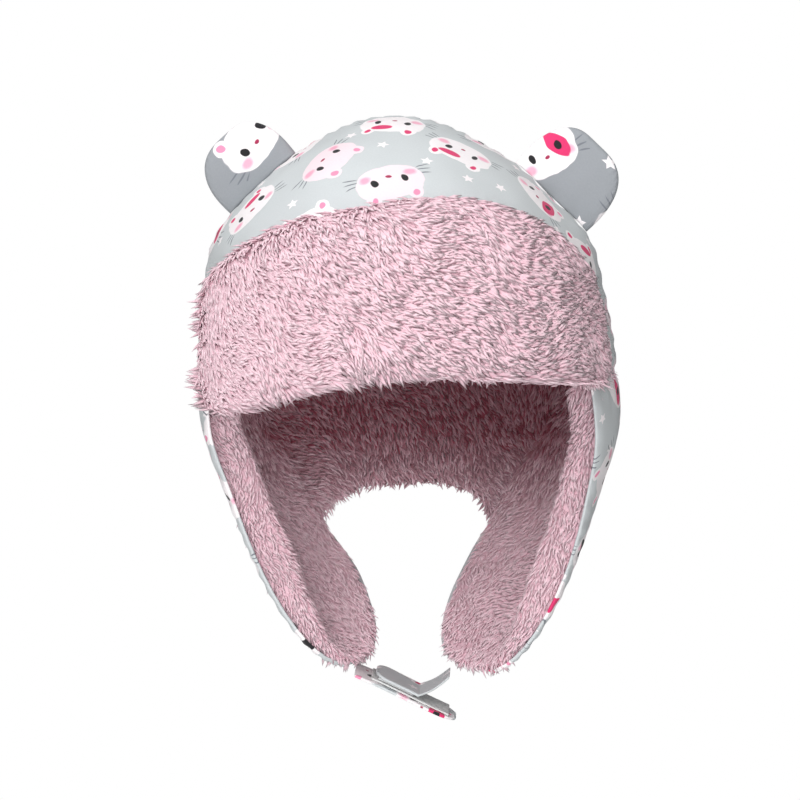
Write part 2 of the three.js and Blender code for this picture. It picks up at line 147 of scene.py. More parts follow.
class Value:
    """A socket that Python's arithmetic works on."""

    def __init__(self, board, socket):
        self.board, self.socket = board, socket

    def math(self, operation, *others, swap=False):
        ordered = [*others, self] if swap else [self, *others]
        return self.board.put("ShaderNodeMath", {"operation": operation}, dict(enumerate(ordered)))

    def __add__(self, other):
        return self.math("ADD", other)

    def __sub__(self, other):
        return self.math("SUBTRACT", other)

    def __rsub__(self, other):
        return self.math("SUBTRACT", other, swap=True)

    def __mul__(self, other):
        return self.math("MULTIPLY", other)

    def __truediv__(self, other):
        return self.math("DIVIDE", other)

    def __pow__(self, other):
        return self.math("POWER", other)

    def __abs__(self):
        return self.math("ABSOLUTE")

    __radd__, __rmul__ = __add__, __mul__

    def clamp(self):
        return self.board.put("ShaderNodeClamp", {}, {0: self})


class Board:
    """A node tree, with one method that adds any node to it."""

    def __init__(self, tree):
        self.tree = tree
        tree.nodes.clear()

    def put(self, kind, settings=None, inputs=None, output=0):
        node = self.tree.nodes.new(kind)
        for name, setting in (settings or {}).items():
            setattr(node, name, setting)
        for key, given in (inputs or {}).items():
            if isinstance(given, Value):
                self.tree.links.new(given.socket, node.inputs[key])
            else:
                node.inputs[key].default_value = given
        return Value(self, node.outputs[output] if len(node.outputs) else None)

    def parts(self, vector):
        node = self.put("ShaderNodeSeparateXYZ", {}, {0: vector}).socket.node
        return [Value(self, socket) for socket in node.outputs]

    def vector(self, operation, *vectors, output=0):
        return self.put("ShaderNodeVectorMath", {"operation": operation}, dict(enumerate(vectors)), output)

    def scaled(self, vector, share):
        return self.put("ShaderNodeVectorMath", {"operation": "SCALE"}, {0: vector, "Scale": share})

    def colour(self, share, first, second):
        """Two colours mixed by a share."""
        return self.put("ShaderNodeMix", {"data_type": "RGBA"}, {0: share, 6: first, 7: second}, 2)

    def number(self, share, first, second):
        """Two numbers mixed by a share."""
        return self.put("ShaderNodeMix", {"data_type": "FLOAT"}, {0: share, 2: first, 3: second}, 0)


def shown(red, green, blue):
    """A colour as a screen shows it, 0 to 255, turned into the light it stands for."""
    shares = [c / 255 for c in (red, green, blue)]
    return (*[((c + 0.055) / 1.055) ** 2.4 if c > 0.04 else c / 12.92 for c in shares], 1.0)


def new_material(name):
    material = bpy.data.materials.new(name)
    material.use_nodes = True
    return material, Board(material.node_tree)


def surface(board, **inputs):
    """A Principled shader on the material's output. Its inputs are named with _ for a space."""
    named = {name.replace("_", " "): given for name, given in inputs.items()}
    shader = board.put("ShaderNodeBsdfPrincipled", {}, named)
    board.put("ShaderNodeOutputMaterial", {}, {"Surface": shader})


def bump(board, height, strength, distance):
    return board.put("ShaderNodeBump", {}, {"Height": height, "Strength": strength, "Distance": distance})


# %% [markdown]
# ## Floor and world
#
# The floor is a stage, not a part of the hat: a wide pale disc well below it, which bounces soft light up into the
# flaps. It is one flat mesh with a faint mottle. The world has the same pale tone to the eye, so that no horizon
# shows, but it lights the hat less than it shines, so that the hollow stays deep.

# %% Floor
FLOOR_HEIGHT, FLOOR_RADIUS, FLOOR_SIDES = -0.5, 1.15, 96

floor_material, board = new_material("floor_paper")
floor_place = board.put("ShaderNodeTexCoord", output="Object")
mottle = board.put("ShaderNodeTexNoise", {}, {"Vector": floor_place, "Scale": 3.0, "Detail": 3.0})
surface(
    board,
    Base_Color=board.colour(mottle, (0.90, 0.90, 0.90, 1), (0.93, 0.93, 0.93, 1)),
    Roughness=board.number(mottle, 0.85, 0.95),
)
floor_rim = [math.tau * side / FLOOR_SIDES for side in range(FLOOR_SIDES)]
floor_mesh = bpy.data.meshes.new("floor")
floor_mesh.from_pydata(
    [(FLOOR_RADIUS * math.cos(a), FLOOR_RADIUS * math.sin(a), FLOOR_HEIGHT) for a in floor_rim],
    [],
    [range(FLOOR_SIDES)],
)
floor_mesh.materials.append(floor_material)
floor = bpy.data.objects.new("floor", floor_mesh)
scene.collection.objects.link(floor)
floor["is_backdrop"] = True
print("floor at", FLOOR_HEIGHT, "m")

# %% World
WORLD_SHOWN, WORLD_LIGHT = 1.0, 0.10

world = bpy.data.worlds.new("studio")
world.use_nodes = True
scene.world = world
board = Board(world.node_tree)
seen = board.put("ShaderNodeLightPath", output="Is Camera Ray")
strength = board.number(seen, WORLD_LIGHT, WORLD_SHOWN)
studio = board.put("ShaderNodeBackground", {}, {"Color": (1, 1, 1, 1), "Strength": strength})
board.put("ShaderNodeOutputWorld", {}, {"Surface": studio})
print("world light:", WORLD_LIGHT)

# %% [markdown]
# ## The form that every panel is cut to
#
# A worn hat is a stuffed shape: an upright oval crown that turns in under the jaw. Every panel lies on that one form,
# each at its own depth, so the form is written once, as a rule that turns an angle round the hat and a height into a
# point. It could be sculpted, but a rule keeps neighbouring panels exactly parallel, and gives as many points as a
# piece needs. Angles are in degrees from the front, positive to the right as seen from there.

# %% The form's measures
HALF_WIDTH, HALF_DEPTH = 85.5, 92.0
CROWN_RISE, CHIN_DROP, CHIN_FULLNESS = 101.0, 139.5, 1.8
APEX_TAPER = (20, 16, 0.12)  # polar angle, spread, amount
SHOULDER_PUFF = (60, 9, 0.045)
LEAN = -0.045
CHIN_FORWARD, CHIN_FROM, CHIN_TO = 38, 40, 135
SEAM_HEIGHT = -4.0
SHELL, PLUSH, GAP = 1.5, 6.5, 0.3

# The worn hat's dents: angle, height, spread round the hat, spread up it, and depth inwards.
DENTS = [
    (-90, 76, 14, 8, 1.8),
    (90, 70, 14, 8, 1.8),
    (90, -26, 40, 20, -3.0),
    (-90, -28, 40, 20, -3.0),
    (76, -3, 12, 4, 1.6),
    (180, -12, 38, 8, 2.0),
    (150, 42, 16, 14, 1.6),
    (-140, 30, 18, 12, 1.4),
]

# %% The form as functions


def hump(value, middle, spread):
    return np.exp(-(((value - middle) / spread) ** 2))


def ease(value, low, high):
    """0 below low, 1 above high, and a smooth rise between."""
    share = np.clip((value - low) / (high - low), 0, 1)
    return share * share * (3 - 2 * share)


def lerp(low, high, share):
    return low + (high - low) * share


def unit(vectors):
    return vectors / np.maximum(np.linalg.norm(vectors, axis=-1, keepdims=True), 1e-9)


def polar_of(height):
    reach = np.where(np.asarray(height) >= 0, CROWN_RISE, CHIN_DROP)
    return np.degrees(np.arccos(np.clip(height / reach, -1, 1)))


def form_point(angle, polar):
    angle, polar = np.broadcast_arrays(np.asarray(angle, float), np.asarray(polar, float))
    turn, level = np.radians(angle), np.abs(np.cos(np.radians(polar)))
    height = np.where(polar <= 90, CROWN_RISE, CHIN_DROP) * np.cos(np.radians(polar))
    fullness = np.where(polar > 90, CHIN_FULLNESS, 2.0)
    egg = np.maximum(1 - level**fullness, 0) ** (1 / fullness)
    taper = 1 - APEX_TAPER[2] * hump(polar, *APEX_TAPER[:2])
    puff = SHOULDER_PUFF[2] * hump(polar, *SHOULDER_PUFF[:2])
    around = egg * (taper + puff * np.sin(turn) ** 4)
    for at, level_at, wide, tall, depth in DENTS:
        away = np.abs((angle - at + 540) % 360 - 180)
        around = around - depth / HALF_WIDTH * hump(away, 0, wide) * hump(height, level_at, tall)
    forward = CHIN_FORWARD * ease(-height, CHIN_FROM, CHIN_TO)
    x = HALF_WIDTH * around * np.sin(turn) + LEAN * height
    y = -HALF_DEPTH * around * np.cos(turn) - forward
    return np.stack([x, y, height], axis=-1)


def form_normal(angle, polar):
    polar = np.maximum(np.asarray(polar, float), 1.0)
    down = form_point(angle, polar + 0.5) - form_point(angle, polar - 0.5)
    around = form_point(np.asarray(angle) + 0.5, polar) - form_point(np.asarray(angle) - 0.5, polar)
    return unit(np.cross(down, around))


def read_table(rows, key, column, value):
    """A column of a table at any value of its key column, rounded smoothly between the rows."""
    ordered = sorted(rows, key=lambda row: row[key])
    xs = np.array([row[key] for row in ordered], float)
    ys = np.array([row[column] for row in ordered], float)
    index = np.arange(len(xs))
    before, after = np.maximum(index - 1, 0), np.minimum(index + 1, len(xs) - 1)
    slope = (ys[after] - ys[before]) / (xs[after] - xs[before])
    place = np.clip(value, xs[0], xs[-1])
    low = np.clip(np.searchsorted(xs, place, side="right") - 1, 0, len(xs) - 2)
    span = xs[low + 1] - xs[low]
    t = (place - xs[low]) / span
    bend = t * (1 - t) ** 2 * span * slope[low] + t * t * (t - 1) * span * slope[low + 1]
    return lerp(ys[low], ys[low + 1], t * t * (3 - 2 * t)) + bend


print("form at brow level:", form_point(0, 90).round(1), "mm")

# %% [markdown]
# ## From a grid of points to a closed piece
#
# Cloth, padding and plush all have a thickness and a rolled edge. A panel is therefore two grids, its outside and its
# inside, that close on each other round the rim: the thickness shrinks to nothing over the last millimetres, the way
# a turned hem does. Solidify could give the wall too, but not an edge that rolls or a thickness that changes. Doubles
# are merged and the normals are worked out again, so that each piece is one closed skin.

# %% Helpers for panels
MERGE_DISTANCE = 2e-6


def rolled(length, radius, count, ends=(True, True)):
    """Shares along a panel, closer together at its rolled ends, and how full the panel is at each of them."""
    reach = min(radius / length, 0.3)
    steps = np.array([0, 0.06, 0.25, 0.55, 1.0]) * reach
    start = steps if ends[0] else np.zeros(1)
    finish = 1 - steps[::-1] if ends[1] else np.ones(1)
    shares = np.concatenate([start, np.linspace(start[-1], finish[0], count)[1:-1], finish])
    from_start = shares if ends[0] else np.ones_like(shares)
    from_finish = 1 - shares if ends[1] else np.ones_like(shares)
    near = np.clip(np.minimum(from_start, from_finish) / reach, 0, 1)
    return shares, np.sqrt(np.maximum(1 - (1 - near) ** 2, 0))


def ripple(points, scale, seed):
    """Smooth noise from -1 to 1 at each point, with humps about scale millimetres across."""
    flat = np.reshape(points, (-1, 3)) / scale + seed * 17.3
    return np.array([noise.noise(Vector(p)) for p in flat]).reshape(np.shape(points)[:-1])


def new_object(name, mesh, material):
    piece = bpy.data.objects.new(name, mesh)
    mesh.materials.append(material)
    scene.collection.objects.link(piece)
    return piece


def closed_piece(name, layers, material, cloth=None, values=None):
    """A closed mesh from grids of points, its outside and its inside. cloth is the place on the flat cloth in
    millimetres, and values are named numbers for each point of each grid."""
    rows, columns = layers[0].shape[:2]
    points = np.concatenate([layer.reshape(-1, 3) for layer in layers]) * MM
    corner = np.arange(rows * columns).reshape(rows, columns)
    quads = np.stack([corner[:-1, :-1], corner[:-1, 1:], corner[1:, 1:], corner[1:, :-1]], axis=-1).reshape(-1, 4)
    faces = np.concatenate([quads, quads[:, ::-1] + rows * columns]) if len(layers) == 2 else quads
    mesh = bpy.data.meshes.new(name)
    mesh.from_pydata(points.tolist(), [], faces.tolist())
    if cloth is not None:
        flat = np.concatenate([cloth.reshape(-1, 2)] * len(layers))
        mesh.uv_layers.new(name="cloth").data.foreach_set("uv", flat[faces.ravel()].astype(np.float32).ravel())
    for key, grids in (values or {}).items():
        numbers = np.concatenate([np.broadcast_to(g, (rows, columns)).ravel() for g in grids])
        mesh.attributes.new(key, "FLOAT", "POINT").data.foreach_set("value", numbers.astype(np.float32))
    return finish_piece(name, mesh, material)


def finish_piece(name, mesh, material):
    """Doubles merged, holes closed, faces turned outwards and shaded smooth."""
    skin = bmesh.new()
    skin.from_mesh(mesh)
    bmesh.ops.remove_doubles(skin, verts=skin.verts, dist=MERGE_DISTANCE)
    bmesh.ops.dissolve_degenerate(skin, edges=skin.edges, dist=MERGE_DISTANCE)
    bmesh.ops.holes_fill(skin, edges=[edge for edge in skin.edges if edge.is_boundary], sides=0)
    bmesh.ops.recalc_face_normals(skin, faces=skin.faces)
    skin.to_mesh(mesh)
    mesh.shade_smooth()
    piece = new_object(name, mesh, material)
    open_edges = sum(edge.is_boundary for edge in skin.edges)
    skin.free()
    area = sum(polygon.area for polygon in mesh.polygons)
    print(f"{name}: {len(mesh.polygons)} faces, {area * 1e4:.0f} cm2, {open_edges} open edges")
    return piece


# %% [markdown]
# ## Printed cotton
#
# The shell is a light grey cotton printed all over with kitten heads tossed every way, small stars, blushes and
# coloured patches. A printed cloth repeats, so the print is charted on one repeat: a place, a turn and a kind for
# each head. The shader wraps that repeat over the cloth, finds the nearest head, and draws it from distances to ovals
# and strokes. An image would be simpler, but this stays sharp at any size. Under it lies a plain weave of fine
# threads, in the bump and in the tone. It reads the panel's own flat map, so the print bends with the cloth. The ears
# have a copy of it on a darker grey, which is painted shade.

# %% The chart of the print
REPEAT_WIDTH, REPEAT_HEIGHT = 156.0, 100.0
PLAIN, MAGENTA_EYE, BLACK_EYE, STREAK, ROSY = range(5)

HEADS = [  # across, up, turn in degrees, and kind
    (-1, -4, 200, ROSY),
    (-27, 15, -118, ROSY),
    (-4, 42, 172, STREAK),
    (25, 26, 164, STREAK),
    (-64, 8, 30, STREAK),
    (63, 23, -40, MAGENTA_EYE),
    (-33, -23, 15, PLAIN),
    (34, -21, -160, BLACK_EYE),
    (-45, 45, 75, MAGENTA_EYE),
    (38, 54, 20, PLAIN),
    (-82, 51, -150, BLACK_EYE),
    (-93, -18, 130, PLAIN),
    (-64, -28, -20, MAGENTA_EYE),
    (2, 71, -60, ROSY),
]
STARS = [
    (-6, 21), (29, 6), (43, 9), (-41, -6), (-20, 34), (12, 11), (50, 40), (-62, 28),
    (12, -22), (-84, 6), (18, 62), (-26, 60), (-70, 66), (56, -6), (-48, -34), (-12, -28),
]

# %% The print and the weave
GREY = shown(209, 214, 216)
WHITE = shown(252, 246, 248)
ROSE_WHITE = shown(250, 226, 234)
BLUSH = shown(246, 150, 184)
MAGENTA = shown(226, 52, 112)
BLACK = shown(28, 26, 30)
WHISKER = shown(122, 126, 134)
THREADS_PER_MM = 2.1

cotton, board = new_material("printed_cotton")
cloth_place = board.put("ShaderNodeUVMap", {"uv_map": "cloth"})


def nearest_motif(chart):
    """The place seen from the nearest motif of a chart that repeats, with its number in the chart."""
    half = (REPEAT_WIDTH / 2, REPEAT_HEIGHT / 2, 1.0)
    best = None
    for number, motif in enumerate(chart):
        away = board.vector("SUBTRACT", cloth_place, (motif[0], motif[1], 0.0))
        away = board.vector("WRAP", away, half, tuple(-h for h in half))
        far = board.vector("LENGTH", away, output="Value")
        if best is None:
            best = (away, far, 0.0)
            continue
        closer = far.math("LESS_THAN", best[1])
        best = (
            board.put("ShaderNodeMix", {"data_type": "VECTOR"}, {0: closer, 4: best[0], 5: away}, 1),
            far.math("MINIMUM", best[1]),
            board.number(closer, best[2], float(number)),
        )
    return best[0], best[2]


def inside(measure, softness=0.08):
    """1 where a measure is below 1, 0 above, and a soft edge between."""
    return ((1 - measure) / softness + 0.5).clamp()


def oval(x, y, at, size, fullness=2.0):
    """How far a place is from an oval's middle, 1 being its edge."""
    across, up = abs((x - at[0]) / size[0]), abs((y - at[1]) / size[1])
    return (across**fullness + up**fullness) ** (1 / fullness)


def listed(number, values):
    """A number looked up in a list by a motif's number, by way of steps."""
    total = board.put("ShaderNodeValue")
    total.socket.default_value = 0.0
    for index, value in enumerate(values):
        if value:
            total = total + number.math("COMPARE", float(index), 0.5) * value
    return total


HEAD_SHRINK = 1.1  # how much smaller a head is printed than its ovals say
away, head_number = nearest_motif(HEADS)
turn = listed(head_number, [math.radians(head[2]) for head in HEADS])
local = board.put("ShaderNodeVectorRotate", {"rotation_type": "Z_AXIS"}, {"Vector": away, "Angle": turn * -1.0})
wobble = board.put("ShaderNodeTexNoise", {}, {"Vector": cloth_place, "Scale": 0.16, "Detail": 1.0})
x, y, _ = board.parts(local)
x = (x + (wobble - 0.5) * 2.4) * HEAD_SHRINK
y = (y + (wobble - 0.5) * -1.8) * HEAD_SHRINK
side = abs(x)

is_kind = [listed(head_number, [float(head[3] == kind) for head in HEADS]) for kind in range(5)]
face = inside(oval(x, y, (0, 0), (14.6, 10.4), 2.4), 0.035)
ears = inside(oval(side, y, (8.8, 8.2), (3.4, 4.4)), 0.08)
inner_ears = inside(oval(side, y, (9.0, 9.2), (1.4, 1.9)), 0.2)
head = face.math("MAXIMUM", ears)
eyes = inside(oval(side, y, (6.5, -0.6), (1.5, 2.1)), 0.16)
nose = inside(oval(x, y, (0, -3.2), (1.15, 0.8)), 0.3)
cheeks = inside(oval(side, y, (9.8, -4.2), (2.5, 1.9)), 0.7)
patch = inside(oval(x + y * 0.25, y, (6.6, -0.4), (4.3, 6.4), 1.6), 0.08)
streak = inside(oval(x, y + wobble * 2.0, (3.4, 6.8), (4.8, 2.3)), 0.12)
strokes = None
for height, slope in ((-2.6, 0.10), (-5.0, -0.12), (-7.2, -0.34)):
    line = abs(y - height - (side - 15.0) * slope)
    stroke = inside(oval(side, line, (16.0, 0), (2.9, 0.34)), 0.5)
    strokes = stroke if strokes is None else strokes.math("MAXIMUM", stroke)

away, star_number = nearest_motif(STARS)
star_turn = star_number * 0.7
star_place = board.put("ShaderNodeVectorRotate", {"rotation_type": "Z_AXIS"}, {"Vector": away, "Angle": star_turn})
star_x, star_y, _ = board.parts(star_place)
spoke = star_y.math("ARCTAN2", star_x).math("WRAP", math.radians(36), math.radians(-36))
star_reach = board.vector("LENGTH", away, output="Value")
STAR_TIP, STAR_VALLEY = 2.7, 1.3
tip_share = 1 / STAR_TIP
valley_share = (1 / STAR_VALLEY - math.cos(math.radians(36)) * tip_share) / math.sin(math.radians(36))
star_measure = star_reach * (spoke.math("COSINE") * tip_share + abs(spoke.math("SINE")) * valley_share)
star = inside(star_measure, 0.1)

tone = board.put("ShaderNodeTexNoise", {}, {"Vector": cloth_place, "Scale": 0.035, "Detail": 2.0})
ground = board.colour(tone, tuple(c * 0.93 for c in GREY[:3]) + (1,), GREY)
ink = board.colour(star, ground, WHITE)
ink = board.colour(strokes * (1 - head), ink, WHISKER)
head_tone = board.colour(is_kind[ROSY] * 0.8, WHITE, ROSE_WHITE)
ink = board.colour(head, ink, head_tone)
ink = board.colour(inner_ears, ink, board.colour(is_kind[STREAK], BLUSH, MAGENTA))
ink = board.colour(cheeks * 0.75, ink, BLUSH)
ink = board.colour(streak * is_kind[STREAK] * head, ink, MAGENTA)
ink = board.colour(patch * is_kind[MAGENTA_EYE], ink, MAGENTA)
ink = board.colour(patch * is_kind[BLACK_EYE], ink, BLACK)
ink = board.colour(eyes, ink, BLACK)
ink = board.colour(nose, ink, board.colour(0.5, BLACK, MAGENTA))

thread_x, thread_y, _ = board.parts(board.scaled(cloth_place, THREADS_PER_MM * math.tau))
weave = thread_x.math("SINE") * thread_y.math("SINE")
slub = board.put("ShaderNodeTexNoise", {}, {"Vector": cloth_place, "Scale": 1.3, "Detail": 3.0})
worn = 1 - weave * 0.025 - (slub - 0.5) * 0.10
surface(
    board,
    Base_Color=board.scaled(ink, worn),
    Roughness=board.number(slub, 0.80, 0.94),
    Normal=bump(board, weave * 0.5 + slub, 0.35, 0.0003),
    Sheen_Weight=0.12,
    Sheen_Roughness=0.5,
)
# The ears' copy of the print has a darker grey ground: painted shade.
EAR_SHADE_GREYS = (shown(148, 152, 157), shown(158, 162, 167))
MIX_COLOUR_SOCKETS = (6, 7)
shaded_ear_cotton = cotton.copy()
shaded_ear_cotton.name = "printed_cotton_shaded"
shaded_ear_ground = shaded_ear_cotton.node_tree.nodes[ground.socket.node.name]
for socket, grey in zip(MIX_COLOUR_SOCKETS, EAR_SHADE_GREYS):
    shaded_ear_ground.inputs[socket].default_value = grey
print("print:", len(HEADS), "heads and", len(STARS), "stars on a repeat of", REPEAT_WIDTH, "x", REPEAT_HEIGHT, "mm")

# %% [markdown]
# ## Plush: its ground and its pile
#
# Plush is a knitted ground with a long soft pile, brushed into locks that lie over each other. Hair curves would look
# softer, but they leave nothing that another program can show, so each lock is a small closed mesh, thin and bent.
# Two materials go with it. The ground is a darker pink that shows between the locks, as painted shade of the gaps.
# The pile is darker at its roots, as painted shade, and pale at its tips, with fine strands along it. It reads the
# lock's own flat map: along a lock is up, and one of eight bands across is that lock's tone. Deep in the hollow both
# turn to maroon pinks, as painted shade of the hollow.

# %% The ground of the plush
# The root pink is darker than the tips, as painted shade between the locks and at their roots.
PINK_TIP = shown(238, 214, 221)
PINK_MIDDLE = shown(233, 200, 210)
PINK_SHADED_ROOT = shown(224, 176, 190)
HOLLOW_SHADE_TIP = shown(150, 70, 86)
HOLLOW_SHADE_ROOT = shown(122, 46, 62)
# The two maroon pinks are painted shade of the hollow, laid on towards the back of the hat and up under the crown.
HOLLOW_SHADE_PLACE = ((0.0, 0.055), (-0.078, -0.035))  # how far back, and how high, the pile deepens


def hollow_shade_at(y, z):
    """How much painted shade of the hollow a place in metres gets, from 0 to 1, as socket arithmetic."""
    (front, back), (low, high) = HOLLOW_SHADE_PLACE
    return ((y - front) / (back - front)).clamp() * ((z - low) / (high - low)).clamp()


def plush_ground(name):
    material, board = new_material(name)
    place = board.put("ShaderNodeTexCoord", output="Object")
    _, back, up = board.parts(place)
    # Painted shade of the hollow, by place.
    hollow_shade = hollow_shade_at(back, up)
    tufts = board.put("ShaderNodeTexNoise", {}, {"Vector": place, "Scale": 420.0, "Detail": 4.0})
    drift = board.put("ShaderNodeTexNoise", {}, {"Vector": place, "Scale": 30.0, "Detail": 2.0})
    # The ground's darker pinks are painted shade between the locks.
    surface(
        board,
        Base_Color=board.colour(
            (tufts * 1.4 - 0.2 + drift * 0.3).clamp(),
            board.colour(hollow_shade, PINK_SHADED_ROOT, HOLLOW_SHADE_ROOT),
            board.colour(hollow_shade, PINK_MIDDLE, HOLLOW_SHADE_TIP),
        ),
        Roughness=board.number(tufts, 0.85, 1.0),
        Normal=bump(board, tufts, 0.9, 0.0012),
        Sheen_Weight=0.3,
        Sheen_Roughness=0.5,
    )
    return material


# %% The pile
TONES = 8


def plush_pile(name):
    material, board = new_material(name)
    across, along, _ = board.parts(board.put("ShaderNodeUVMap", {"uv_map": "OFBake"}))
    band = (across * float(TONES)).math("FLOOR")
    share = (across * float(TONES)).math("FRACT")
    tone = board.put("ShaderNodeTexWhiteNoise", {"noise_dimensions": "1D"}, {"W": band})
    # The upper bands take the maroon pinks: painted shade of the hollow.
    hollow_shade = ((band - 2.0) / (TONES - 3.0)).clamp()
    strands = (share * 34.0 + (along * 5.0).math("SINE") * 1.5).math("SINE")
    # Darker towards the lock's root: painted shade.
    paleness = (along * 1.25 - 0.08 + strands * 0.06).clamp()
    surface(
        board,
        Base_Color=board.colour(
            paleness,
            board.colour(hollow_shade, PINK_SHADED_ROOT, HOLLOW_SHADE_ROOT),
            board.colour(hollow_shade, board.colour(tone, PINK_MIDDLE, PINK_TIP), HOLLOW_SHADE_TIP),
        ),
        Roughness=board.number(tone, 0.75, 0.95),
        Normal=bump(board, strands, 0.1, 0.0002),
        Sheen_Weight=0.2,
        Sheen_Roughness=0.5,
    )
    return material


ground_plush = plush_ground("plush_ground")
pile_plush = plush_pile("plush_pile")
print("plush tones:", TONES)

# %% [markdown]
# ## Crown, nape and flap panels
#
# The shell is cut in panels: a front and a back of the crown that meet in the seam from ear to ear, a nape panel, and
# two flaps. A sewn seam pulls the cloth in along its line and leaves small puckers beside it, and slack cloth has
# long soft folds. Those are added to each panel's outside as small moves along its normal. A cloth simulation could
# find folds of its own, but these sit where the sewing puts them and leave the panel in its place.

# %% Cloth folds and seam puckers
FOLD_DEPTH, FOLD_SIZE = 1.0, 34.0
PUCKER_DEPTH, PUCKER_PITCH, PUCKER_REACH = 0.55, 8.5, 9.0
SEAM_DIP, SEAM_REACH = 1.1, 2.2


def folds(points, seam_distance, along_seam, seed):
    """How far the cloth stands out at each point, in millimetres, from its distance to the nearest seam."""
    slack = FOLD_DEPTH * ripple(points, FOLD_SIZE, seed) + 0.35 * ripple(points, 13.0, seed + 3)
    wave = np.sin(along_seam / PUCKER_PITCH * math.tau + 2.5 * ripple(points, 25.0, seed + 7))
    pucker = PUCKER_DEPTH * wave * np.exp(-seam_distance / PUCKER_REACH)
    dip = SEAM_DIP * np.exp(-((seam_distance / SEAM_REACH) ** 2))
    return slack * ease(seam_distance, 0, 18) + pucker * ease(seam_distance, 0, 3) - dip


def wall(angle, polar, fullness, layer, stand=0.0):
    """The outside and inside grids of a panel that lies on the form between two offsets."""
    middle, half = (layer[0] + layer[1]) / 2, (layer[0] - layer[1]) / 2
    base, normal = form_point(angle, polar), form_normal(angle, polar)
    offsets = (middle + half * fullness + stand, middle - half * fullness + stand)
    return [base + normal * offset[..., None] for offset in offsets]


SHELL_LAYER = (0.0, -SHELL)
PEAK_FOOT, EDGE_GAP = 6.0, 1.2
EDGE_RISE = (50, 60)
PEAK_ROWS = [
    dict(zip(("angle", "fold", "top", "plush"), row))
    for row in (
        (-67, -5, 20, 3.5), (-63, -12, 31, 5), (-56, -16, 41, 7.5), (-44, -15, 52, 10), (-31, -9, 60, 11.5),
        (-15, -3.5, 66, 12), (0, 0, 69.5, 12), (15, 0.5, 71, 12), (30, -1.5, 69, 11.5), (43, -3.5, 62, 10),
        (54, -5, 51, 7.5), (61, -5, 37, 5), (65, -1, 22, 3.5),
    )
]


def crown_edge(angle):
    """Height of the crown's lower edge: over the peak's fold in front, and level elsewhere."""
    turned = (angle + 540) % 360 - 180
    fold = read_table(PEAK_ROWS, "angle", "fold", turned) + PEAK_FOOT + EDGE_GAP
    return lerp(fold, SEAM_HEIGHT + GAP / 2, ease(np.abs(turned), *EDGE_RISE))


# %% Crown panels
DOME_RADIUS = 95.0  # mean radius, for the cloth's flat map


def dome_map(points, middle):
    """Each point's place on the flat cloth, measured from the panel's middle along the dome."""
    centre = unit(form_point(*middle))
    rightwards = unit(np.cross([0.0, 0.0, 1.0], centre))
    upwards = np.cross(centre, rightwards)
    facing = unit(points)
    toward = np.clip(facing @ centre, -1, 1)
    flat = unit(facing - toward[..., None] * centre)
    return (DOME_RADIUS * np.arccos(toward))[..., None] * np.stack([flat @ rightwards, flat @ upwards], axis=-1)


CROWN_SIZE = (270.0, 150.0)  # length along the seam line's half turn, and from crown to edge


def crown_panel(name, first, last, middle, shift, print_shift, seed):
    u, full_u = rolled(CROWN_SIZE[0], 1.2, 130)
    v, full_v = rolled(CROWN_SIZE[1], 1.2, 84, (False, True))
    angle = lerp(first, last, u)[None, :] * np.ones((len(v), 1))
    polar = v[:, None] * polar_of(crown_edge(angle))
    base = form_point(angle, polar)
    radius = np.hypot(base[..., 0], base[..., 1])
    side_seam = radius * np.radians(np.minimum(np.abs(angle - first), np.abs(angle - last)))
    edge_seam = (1 - v[:, None]) * CROWN_SIZE[1] + 0 * angle
    nearest = np.minimum(side_seam, edge_seam)
    along = np.where(side_seam < edge_seam, np.radians(polar) * DOME_RADIUS, np.radians(angle) * DOME_RADIUS)
    stand = folds(base, nearest, along, seed)
    stand = np.where(v[:, None] < 0.05, stand * v[:, None] / 0.05, stand)
    layers = wall(angle, polar, full_u[None, :] * full_v[:, None], SHELL_LAYER, stand)
    layers = [layer + np.array([0.0, shift, 0.0]) for layer in layers]
    cloth = dome_map(base, middle) + np.array(print_shift)
    piece = closed_piece(name, layers, cotton, cloth)
    return piece


crown_front = crown_panel("crown_front_cloth", -90, 90, (0, 40), -GAP / 2, (0, 0), 1)
crown_back = crown_panel("crown_back_cloth", 90, 270, (180, 45), GAP / 2, (70, 12), 2)

# %% [markdown]
# The flaps and the nape panel hang from the crown's lower seam. A flap's outline is a table of its front and rear
# edges at each height, and the nape panel fills the space between the flaps. The same outlines cut their plush, so
# each is a function of the panel's shares, used at both depths.

# %% Flap and nape outlines
FLAP_COLUMNS = ("height", "left_front", "right_front", "left_rear", "right_rear")
FLAP_ROWS = [
    dict(zip(("row", *FLAP_COLUMNS), (number, *row)))
    for number, row in enumerate((
        (-4, 70, 61, 118, 122), (-20, 72, 63, 122, 128.5), (-36, 74, 66, 127, 135), (-52, 76, 69, 133, 142),
        (-64, 77.5, 71.5, 137.5, 147.5), (-73, 78.5, 73, 141.5, 152), (-82, 79.5, 75, 147, 157),
        (-93, 81, 77, 153, 162), (-104, 84, 80, 155.5, 166.5), (-112, 88, 85, 155.5, 168),
        (-118, 95, 92, 152, 166.5), (-122, 106, 102, 145, 160), (-124, 117, 114, 134, 148),
    ))
]
FLAPS = [("left", -1, 0.0), ("right", 1, 2.0)]  # name, side, and how much lower the tip hangs
NOTCH_ROW = 5
NAPE_MIDDLE, NAPE_CORNER, NAPE_POWER = -59, -73, 2.4
HALF_GAP_ANGLE = 0.12
FLAP_SIZE, NAPE_SIZE = (86.0, 150.0), (112.0, 62.0)


